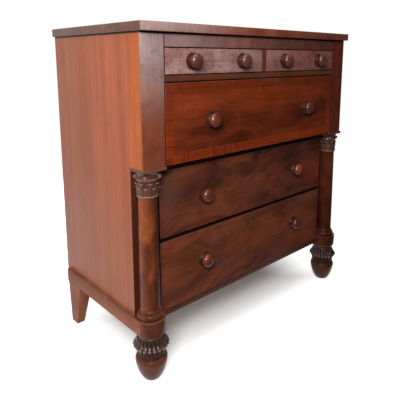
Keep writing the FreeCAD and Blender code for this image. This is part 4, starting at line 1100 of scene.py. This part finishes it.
def clamp(value, high=1.0):
    return max(0.0, min(high, value))


def note_raised(work):
    return work.verts.layers.float.get("raised") or work.verts.layers.float.new("raised")


def bell_radius(z):
    """The radius under the leaves, in millimetres, which grows towards the rim."""
    rise = clamp((z - BELL_FOOT) / BELL_HEIGHT)
    return 32.0 + 4.0 * rise * rise


def carve_leaf(work, centre, turn, foot, height, half, curl, lobes):
    """A ribbed leaf on the bell, with notched edges and a tip that rolls outwards."""
    mark = note_raised(work)
    before = set(work.verts)
    made = bmesh.ops.create_grid(work, x_segments=12, y_segments=16, size=1)["verts"]
    for vert in made:
        across, up = vert.co.x, (vert.co.y + 1) / 2
        outline = (0.80 + 0.20 * math.sin(math.pi * up)) * (1 - up ** 7) ** 0.5
        notch = 1 - 0.20 * abs(across) ** 3 * (0.5 - 0.5 * math.cos(math.tau * lobes * up))
        rib = math.exp(-(across / 0.16) ** 2)
        vein = 0.5 + 0.5 * math.cos(math.tau * (lobes * up - 0.9 * abs(across)))
        roll = max(0.0, up - 0.72) / 0.28
        z = foot + height * (up - 0.30 * roll ** 2.2)
        swell = 1.6 + 2.0 * rib + 1.7 * vein * (1 - rib) - 1.4 * across ** 2 + curl * roll ** 1.4
        radius = bell_radius(z) + swell
        angle = turn + across * half * outline * notch / radius
        vert.co = centre + Vector((radius * math.cos(angle), radius * math.sin(angle), z)) * MM
        # Rib, veins and the curled tip are marked high for a painted highlight, the rest low for a painted shade.
        vert[mark] = clamp(0.12 + 0.55 * rib + 0.5 * vein * (1 - rib) + 0.5 * roll)
    bmesh.ops.solidify(work, geom=faces_of(made), thickness=2.2 * MM)
    leaf = added(work.verts, before)
    bmesh.ops.recalc_face_normals(work, faces=faces_of(leaf))
    return leaf


# %% Scrolls
SCROLL_OUT, SCROLL_UP, SCROLL_RADIUS, SCROLL_WIDTH = 38.0 * MM, 708 * MM, 7.0 * MM, 8.0 * MM


def carve_scroll(work, centre, turn):
    """A disc with a sunk ring on each face, standing out from a corner of the bell."""
    mark = note_raised(work)
    before = set(work.verts)
    out = Vector((math.cos(turn), math.sin(turn), 0))
    place = Matrix.Translation(centre + out * SCROLL_OUT + UP * SCROLL_UP)
    stand = Matrix.Rotation(turn, 4, "Z") @ Matrix.Rotation(math.radians(90), 4, "X")
    verts = bmesh.ops.create_cone(
        work, cap_ends=True, segments=24, radius1=SCROLL_RADIUS, radius2=SCROLL_RADIUS, depth=SCROLL_WIDTH,
        matrix=place @ stand)["verts"]
    caps = [face for face in faces_of(verts) if len(face.verts) > 4]
    for inset, sink in ((1.6, 0.0), (1.1, -1.6), (1.6, 1.8)):
        bmesh.ops.inset_individual(work, faces=caps, thickness=inset * MM, depth=sink * MM)
    whole = added(work.verts, before)
    # Scrolls are marked high, for a painted highlight.
    for vert in whole:
        vert[mark] = 0.85
    return whole


# %% Capitals
BELL_RINGS = ((641, 650.5), (698, 704), (720, 726))
SLAB, SLAB_ROUND = 11 * MM, 4.5 * MM
BELL_OUTLINE = (
    (0, 642), (33.0, 642), (35.0, 643.2), (36.0, 645.4), (35.9, 647.8), (34.7, 649.8), (32.6, 651), (32.2, 654),
    (32.6, 676), (33.6, 694), (35.6, 698.4), (37.6, 699.6), (38.2, 701.4), (37.6, 703.2), (35.4, 704.2), (34.2, 707),
    (34.4, 714), (35.6, 719), (37.4, 721), (37.8, 723), (37.4, 724.9), (0, 724.9),
)
for side, centre in COLUMN_AXIS.items():
    node = side + "_capital"
    low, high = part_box(node)
    work = bmesh.new()
    mark = note_raised(work)
    lathe(work, BELL_OUTLINE, centre, UP, 48)
    # The rings are marked high for a painted highlight, the rest of the bell lower, for some painted shade.
    for vert in work.verts:
        height = vert.co.z / MM
        vert[mark] = 0.85 if any(start < height < end for start, end in BELL_RINGS) else 0.3
    ring_of(work, carve_leaf(work, centre, math.radians(22.5), 651.5, 52, 14.0, 4.0, 4.0), centre, 8)
    ring_of(work, carve_leaf(work, centre, 0.0, 651.5, 30, 12.5, 3.5, 3.0), centre, 8)
    ring_of(work, carve_scroll(work, centre, math.radians(45)), centre, 4)
    cut_flat(work, case_front)
    size = Vector((high.x - low.x, high.y - low.y, SLAB))
    middle = Vector(((low.x + high.x) / 2, (low.y + high.y) / 2, high.z - SLAB / 2))
    slab = bmesh.ops.create_cube(work, size=1, matrix=Matrix.LocRotScale(middle, None, size))["verts"]
    lower = [
        edge for edge in {edge for vert in slab for edge in vert.link_edges}
        if max(vert.co.z for vert in edge.verts) < middle.z and middle_of(edge).y < case_front - MM]
    bmesh.ops.bevel(
        work, geom=lower, offset=SLAB_ROUND, offset_type="OFFSET", affect="EDGES", segments=4, profile=0.5,
        material=-1)
    under_slab = high.z - SLAB - 0.1 * MM
    finish_faces(work, lambda face: 1 if min(vert.co.z for vert in face.verts) > under_slab else 0)
    make_piece(node, "_carved", work, "carved_wood", capital_wood, slab_wood, smooth=42)

# %% [markdown]
# ## Front feet
# A front foot is an egg with a broad round shoulder, a cup cut with leaves, and a collar of fat petals that hang from a
# ringed neck. The cup is dark, a painted shade for the shadow under the collar. The core is turned. A petal starts as a
# ball that is drawn out, leaned in at its top and swollen at its tip, and spin copies it round the collar.

# %% Petals
PETALS = 22


def carve_petal(work, centre):
    """A ball drawn into a petal: thin where it leaves the neck, fattest below its middle."""
    mark = note_raised(work)
    made = bmesh.ops.create_uvsphere(work, u_segments=14, v_segments=18, radius=1)["verts"]
    for vert in made:
        out, across, up = vert.co
        fall = (1 - up) / 2
        belly = math.sin(math.pi * fall)
        bead = math.exp(-((fall - 0.70) / 0.15) ** 2)
        flare = clamp((fall - 0.30) / 0.40)
        spine = 46.0 + 8.0 * flare * flare * (3 - 2 * flare)
        depth = 3.4 + 2.8 * belly + 3.2 * bead
        width = 6.0 + 1.8 * belly + 1.0 * bead
        vert.co = centre + Vector((spine + depth * out, width * across, 138 + 20 * up)) * MM
        # The bead at a petal's tip is marked high: a painted highlight as well as rubbed wear.
        vert[mark] = clamp(0.05 + 0.25 * out + 0.9 * bead * max(0.0, out))
    return made


# %% Cup leaves
CUP_LEAVES = 22


def carve_cup_leaf(work, centre):
    """A small leaf that points down the cup, between two petals."""
    mark = note_raised(work)
    half_step = Matrix.Translation(centre) @ Matrix.Rotation(math.pi / CUP_LEAVES, 4, "Z")
    made = bmesh.ops.create_uvsphere(work, u_segments=10, v_segments=10, radius=1)["verts"]
    for vert in made:
        out, across, up = vert.co
        fall = (1 - up) / 2
        width = 6.6 * (1 - 0.25 * fall ** 2)
        rib = 0.7 * math.exp(-(across / 0.2) ** 2) * max(0.0, out)
        radius = 47.6 - 2.2 * fall + 3.0 * out + rib
        vert.co = half_step @ (Vector((radius, width * across, 107 + 16 * up)) * MM)
        vert[mark] = clamp(0.05 + 0.35 * out, 0.4)
    return made


# %% Front feet
FOOT_OUTLINE = (
    (0, 0), (21.5, 0), (24.0, 1.0), (28.0, 4.0), (31.5, 8), (36.0, 15), (40.5, 23), (44.5, 32), (48.0, 42), (51.0, 53),
    (53.4, 63), (54.6, 71), (54.8, 76), (54.2, 80.4), (52.8, 84), (50.6, 86.6), (48.0, 87.8), (45.6, 88.2), (44.4, 89),
    (44.0, 91), (44.2, 95), (44.8, 103), (45.8, 111), (47.4, 119), (49.4, 127), (50.0, 134), (47.5, 146), (44.5, 154),
    (42.6, 157.6), (42.4, 158.6), (43.4, 159.8), (44.6, 161.0), (45.0, 162.6), (44.2, 164.0), (42.9, 164.8),
    (43.6, 165.8), (44.4, 166.8), (44.6, 168), (43.8, 169.4), (44.0, 170.6), (46.2, 173), (49.0, 175.4), (50.0, 177),
    (0, 177),
)
CUP_FOOT, CUP_TOP = 89.5, 158
EGG, COLLAR, CUP = 0, 1, 2


def foot_finish(face):
    """Which finish a turned face of the foot takes, by its height."""
    height = face.calc_center_median().z / MM
    return EGG if height < CUP_FOOT else CUP if height < CUP_TOP else COLLAR


for side, centre in COLUMN_AXIS.items():
    node = side + "_front_foot"
    work = bmesh.new()
    mark = note_raised(work)
    lathe(work, FOOT_OUTLINE, centre, UP, 56)
    # The collar's carved finish reads these marks: the neck above the cup is marked high, for a painted highlight on
    # its rings.
    for vert in work.verts:
        height = vert.co.z / MM
        vert[mark] = 0.05 if CUP_FOOT < height < CUP_TOP else 0.75
    finish_faces(work, foot_finish)
    for carve, count, finish in ((carve_cup_leaf, CUP_LEAVES, CUP), (carve_petal, PETALS, COLLAR)):
        before = set(work.faces)
        ring_of(work, carve(work, centre), centre, count)
        for face in added(work.faces, before):
            face.material_index = finish
    make_piece(node, "_carved", work, "carved_wood", turned_wood, carved_wood, painted_cup_shade, smooth=48)

# %% [markdown]
# ## Inside the case
# What stays as the frame drew it still gets a finish of its own: bare softwood for drawer boxes and dust boards, a
# lighter cabinet wood for the writing gallery, brass for the hinges and iron for the locks.

# %% Hidden pieces
HIDDEN = {
    bare_wood: [
        "left_small_drawer_box", "right_small_drawer_box", "middle_drawer_box", "bottom_drawer_box", "drawer_guides",
        "left_small_drawer_bottom", "right_small_drawer_bottom", "desk_drawer_box"],
    board_wood: ["back_boards", "upper_dust_board", "middle_drawer_bottom", "bottom_drawer_bottom"],
    gallery_wood: ["desk_gallery", "inner_drawer_1", "inner_drawer_2", "inner_drawer_3", "inner_drawer_4"],
    # The stiles take the dark stile wood, partly a painted shade for the shadow behind the columns.
    stile_wood_and_shade: ["stiles"],
    hinge_brass: ["fall_hinges", "fall_stays"],
    lock_iron: [
        "fall_lock", "fall_bolt", "middle_drawer_lock", "middle_drawer_bolt", "bottom_drawer_lock",
        "bottom_drawer_bolt"],
}
for finish, nodes in HIDDEN.items():
    for node in nodes:
        for holder in frame["nodes"][node].material_slots:
            holder.material = finish
    print(finish.name, "on", len(nodes), "nodes")
